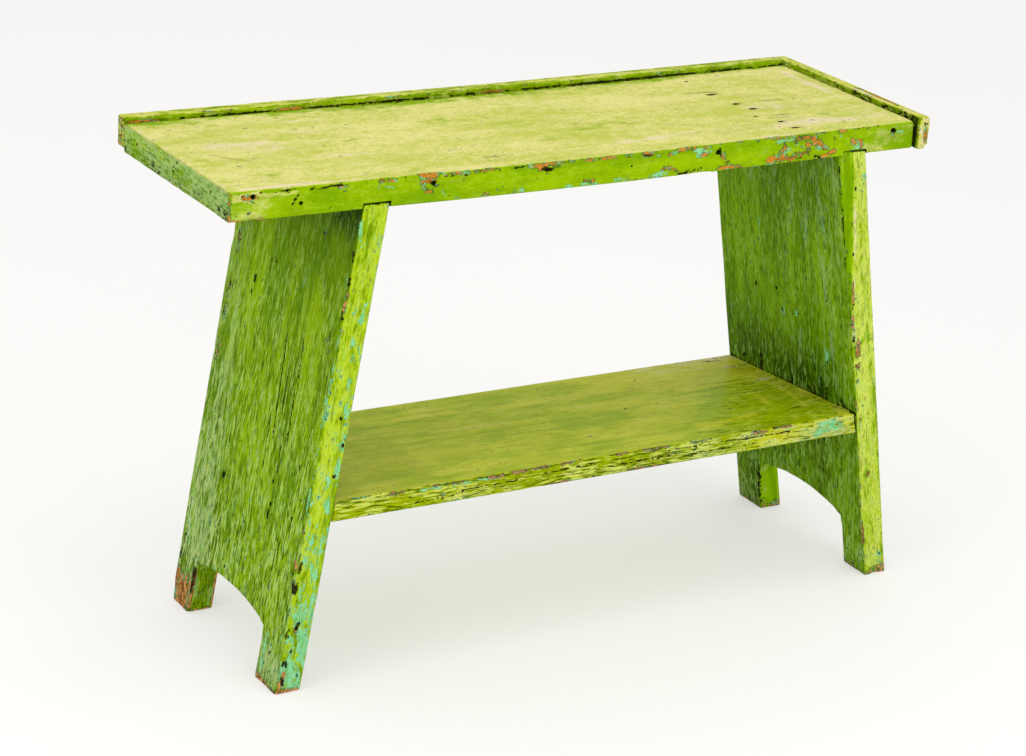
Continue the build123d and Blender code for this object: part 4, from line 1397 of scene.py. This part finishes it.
rim_paint = chipped_paint(
    "rim_paint", (tint(120, 156, 0), tint(156, 184, 0)),
    (tint(196, 206, 66), tint(216, 212, 120)), tint(200, 212, 104), 0.6, streak=0.9)
lines = ruled((0, 10, 990, PLANK_LONG), (1.6, 4.0, 1.6))
across = ruled((0, 7, 14, BACK_RIM_WIDE), (1.2, 2.4, 1.2))
through = ruled((0, 7, 33, BACK_RIM_TALL), (1.2, 2.6, 1.4))
u, v, w, grid_quads = lattice(lines, across, through)
grid_points = np.stack([u, v, w + RIM_SAG * sag(u)], 1)
BACK_RIM_BITES = (
    ((0, 0, 0), (12, 6, 4), 161), ((300, 0, 0), (18, 3, 3), 162),
    ((640, 0, 0), (22, 3, 2.5), 163), ((820, 0, 0), (15, 3, 2.5), 164),
    ((470, 21, 0), (24, 3, 3), 165), ((0, 21, 40), (9, 6, 8), 166),
)
grid_points = weathered(grid_points, back_faces, 3.2, BACK_RIM_BITES, 0.6, 47)
back_rim_mesh = mesh_of("back_rim_strip", grid_points, grid_quads)
piece_of("back_rim_strip", back_rim_mesh, back_rim_to_world, back_rim_wear, rim_paint,
         "back_rim")

# ---------------------------------------------------------------- back rim nails
# Six cut nails driven through the back rim into the plank's back edge, evenly spaced.
# Their hammered heads lie flush in the strip's back and were painted over with it.

BACK_NAIL_LENGTH = 50
FIRST_BACK_NAIL = 55
BACK_NAIL_STEP = 174
BACK_HEADS_AT = 162.2
RIM_NAIL_HEIGHT = 643.5

rim_iron = painted_iron("rim_nail_iron", tint(138, 170, 10), 0.8)
heads = []
for i in range(6):
    across = PLANK_LEFT + FIRST_BACK_NAIL + BACK_NAIL_STEP * i
    heads.append((across, BACK_HEADS_AT, RIM_NAIL_HEIGHT))
driven_nails("back_rim_cut_nails", heads, BACK_NAIL_LENGTH, (-quarter, 0, 0), 9, rim_iron,
             "back_rim_nails")

# ---------------------------------------------------------------- end rim
# A strip nailed across the plank's right-hand end, lapping the end of the back rim.
# It runs on a little past the plank's front, where hands have worn its end round.

END_RIM_LONG = 325.0
END_RIM_WIDE = 17.0
END_RIM_TALL = 44.0
END_RIM_OVERHANG = 8.0
SPRUNG_MOST = 2.4
SPRUNG_LENGTH = 260


def sprung(u):
    """How far the strip has sprung off the plank, most at its loose front end."""
    return SPRUNG_MOST * held(1 - u / SPRUNG_LENGTH) ** 2


def end_rim_to_world(p):
    u, v, w = p.T
    x = PLANK_LEFT + PLANK_LONG + v + sprung(u)
    y = PLANK_FRONT - END_RIM_OVERHANG + u
    return np.stack([x, y, PLANK_TOP + RIM_PROUD - w], 1)


end_faces = rim_faces(END_RIM_LONG, END_RIM_WIDE, END_RIM_TALL)


def end_rim_wear(p):
    u, v = p.T[:2]
    faces = end_faces(p)
    edge = arris(faces)
    patchy = drift(p, (30, 9, 9), 53)
    top = held(1 + faces[4] / 1.5)
    front = held(1 - u / 2.5)
    inner = held(1 - v / 1.5)
    loss = (0.34 + 0.14 * patchy) * held(1 - edge / 3.6)
    loss = np.maximum(loss, 0.78 * touched(p, [((0, 11, 18), (0, 12, 32), 3.4)]))
    loss = np.maximum(loss, 0.78 * touched(p, [((60, 9, 0), (150, 12, 0), 3.0)]))
    fade = top * (1.05 + 0.35 * patchy + 0.22 * (u < 190))
    fade = np.maximum(fade, front * (1.3 + 0.2 * patchy))
    # Painted shadow down the side against the plank, darkest on the bit past the plank's front,
    # where the strip has sprung.
    gap = 0.9 * held((u - 4) / 2)
    soil = inner * np.where(u < 9, gap, held(0.66 - 0.0011 * u + 0.16 * patchy))
    soil = np.maximum(soil, 0.40 * held(patchy) * top)
    soil = np.maximum(soil, 0.50 * held(1 - edge / 2) * top * (patchy > -0.2))
    soil = np.maximum(soil, 0.7 * touched(p, [((0, 11, 9), (0, 11, 10), 2.2)]))
    # The side against the plank is a darker green too, painted shade; the outer side a little
    # darker.
    stain = 0.4 * inner + 0.2 * (v > 15)
    blue = 0.1 * patchy + 0.4 * touched(p, [((0, 6, 13), (0, 8, 14), 3.0)])
    mist = 0.05 + 0.15 * front
    grain = 0.4 + 0.2 * patchy
    return {"loss": loss, "blue": blue, "mist": mist, "fade": fade, "grain": grain,
            "soil": soil, "stain": stain}


lines = ruled((0, 10, 315, END_RIM_LONG), (1.3, 3.4, 1.6))
across = ruled((0, 6, 11, END_RIM_WIDE), (1.2, 2.4, 1.2))
through = ruled((0, 7, 37, END_RIM_TALL), (1.2, 2.6, 1.3))
u, v, w, grid_quads = lattice(lines, across, through)
grid_points = np.stack([u, v, w], 1)
END_RIM_BITES = (
    ((0, 17, 44), (10, 7, 9), 171), ((0, 17, 0), (9, 5, 5), 172),
    ((120, 0, 0), (20, 3, 2.5), 173),
)
grid_points = weathered(grid_points, end_faces, 2.6, END_RIM_BITES, 0.3, 57)
END_RIM_HOLES = (pit((0, 8, 9), (1, 0, 0), (3.5, 3.5), 5, 174),)
end_rim_mesh = carved("end_rim_strip", grid_points, grid_quads, END_RIM_HOLES)
piece_of("end_rim_strip", end_rim_mesh, end_rim_to_world, end_rim_wear, rim_paint,
         "end_rim")

# ---------------------------------------------------------------- end rim nails
# Five shorter cut nails through the end rim, four into the plank and one into the back rim.
# They hold the strip tight except at its front end, where the first has drawn a little.

END_NAIL_LENGTH = 45
END_HEADS_AT = 493.45

heads = []
for v in (26, 108, 190, 272, 306.5):
    x = END_HEADS_AT + sprung(v + END_RIM_OVERHANG)
    heads.append((x, PLANK_FRONT + v, RIM_NAIL_HEIGHT))
driven_nails("end_rim_cut_nails", heads, END_NAIL_LENGTH, (quarter, 0, quarter), 10, rim_iron,
             "end_rim_nails")

# ---------------------------------------------------------------- floor
# A plain pale studio floor, not part of the bench, that keeps the bench's shadow.
# Where it is seen directly or mirrored it is lifted part of the way to white.

FLOOR_REACH = 7.0
FLOOR_COLOUR = (0.93, 0.91, 0.885, 1)
FLOOR_WHITE = 1.08
FLOOR_LIFT = 0.42

floor_mesh = bpy.data.meshes.new("studio_floor")
corners = []
for x, y in ((-1, -1), (1, -1), (1, 1), (-1, 1)):
    corners.append((x * FLOOR_REACH, y * FLOOR_REACH, 0))
floor_mesh.from_pydata(corners, [], [(0, 1, 2, 3)])
floor = bpy.data.objects.new("studio_floor", floor_mesh)
bpy.context.collection.objects.link(floor)
floor_paint = bpy.data.materials.new("studio_floor_paint")
floor_paint.use_nodes = True
floor_paint.node_tree.nodes.clear()
nodes = Shade(floor_paint.node_tree)
pale = nodes.node("BsdfDiffuse", {}, {"Color": FLOOR_COLOUR})
white = nodes.node("Emission", {}, {"Color": (1, 1, 1, 1), "Strength": FLOOR_WHITE})
seen = nodes.node("LightPath", output="Is Camera Ray")
seen = seen.over(nodes.node("LightPath", output="Is Glossy Ray"))
seen = seen.over(nodes.node("LightPath", output="Is Transmission Ray"))
lifted = nodes.node("MixShader", {}, {0: seen * FLOOR_LIFT, 1: pale, 2: white})
nodes.node("OutputMaterial", {}, {"Surface": lifted})
floor_mesh.materials.append(floor_paint)

# ---------------------------------------------------------------- light
# Plain soft studio light: a white surround and three wide square lamps,
# one in front of the bench, one on its left and one overhead.

SURROUND_STRENGTH = 0.80

world = bpy.data.worlds.new("studio_white")
bpy.context.scene.world = world
world.use_nodes = True
surround = world.node_tree.nodes["Background"]
surround.inputs["Color"].default_value = (1, 1, 1, 1)
surround.inputs["Strength"].default_value = SURROUND_STRENGTH


def soft_lamp(name, place, target, size, power):
    """A wide square lamp that faces a point."""
    light = bpy.data.lights.new(name, "AREA")
    light.shape = "SQUARE"
    light.size = size
    light.energy = power
    lamp = bpy.data.objects.new(name, light)
    aim = np.array(place, float) - np.array(target, float)
    lamp.location = place
    lamp.rotation_euler = (math.atan2(math.hypot(aim[0], aim[1]), aim[2]), 0,
                           math.atan2(aim[0], -aim[1]))
    bpy.context.collection.objects.link(lamp)
    return lamp


soft_lamp("front_lamp", (0.6, -3.6, 1.9), (0, 0, 0.35), 2.4, 34)
soft_lamp("left_lamp", (-3.4, -0.9, 1.7), (0, 0, 0.35), 2.4, 22)
soft_lamp("top_lamp", (-0.5, -0.6, 3.6), (0, 0, 0.4), 2.6, 22)

# ---------------------------------------------------------------- camera
# A long lens about 3.7 m from the bench's top, raised and towards its left end.
# Its angles are degrees round from the front, down, and off level.

CAMERA_PLACE = (-1.91803, -2.97648, 1.64814)
CAMERA_ANGLES = (32.4908, 20.7581, 4.2801)
LENS_LENGTH = 100.485
FILM_WIDTH = 36.0

camera_data = bpy.data.cameras.new("camera")
camera_data.lens = LENS_LENGTH
camera_data.sensor_width = FILM_WIDTH
camera_data.clip_start = 0.1
camera_data.clip_end = 60.0
camera = bpy.data.objects.new("camera", camera_data)
bpy.context.collection.objects.link(camera)
azimuth, elevation, roll = (math.radians(angle) for angle in CAMERA_ANGLES)
turned = (Matrix.Rotation(-azimuth, 4, "Z") @ Matrix.Rotation(math.pi / 2 - elevation, 4, "X")
          @ Matrix.Rotation(roll, 4, "Z"))
camera.matrix_world = Matrix.Translation(CAMERA_PLACE) @ turned
bpy.context.scene.camera = camera
bpy.context.scene.view_settings.view_transform = "Standard"
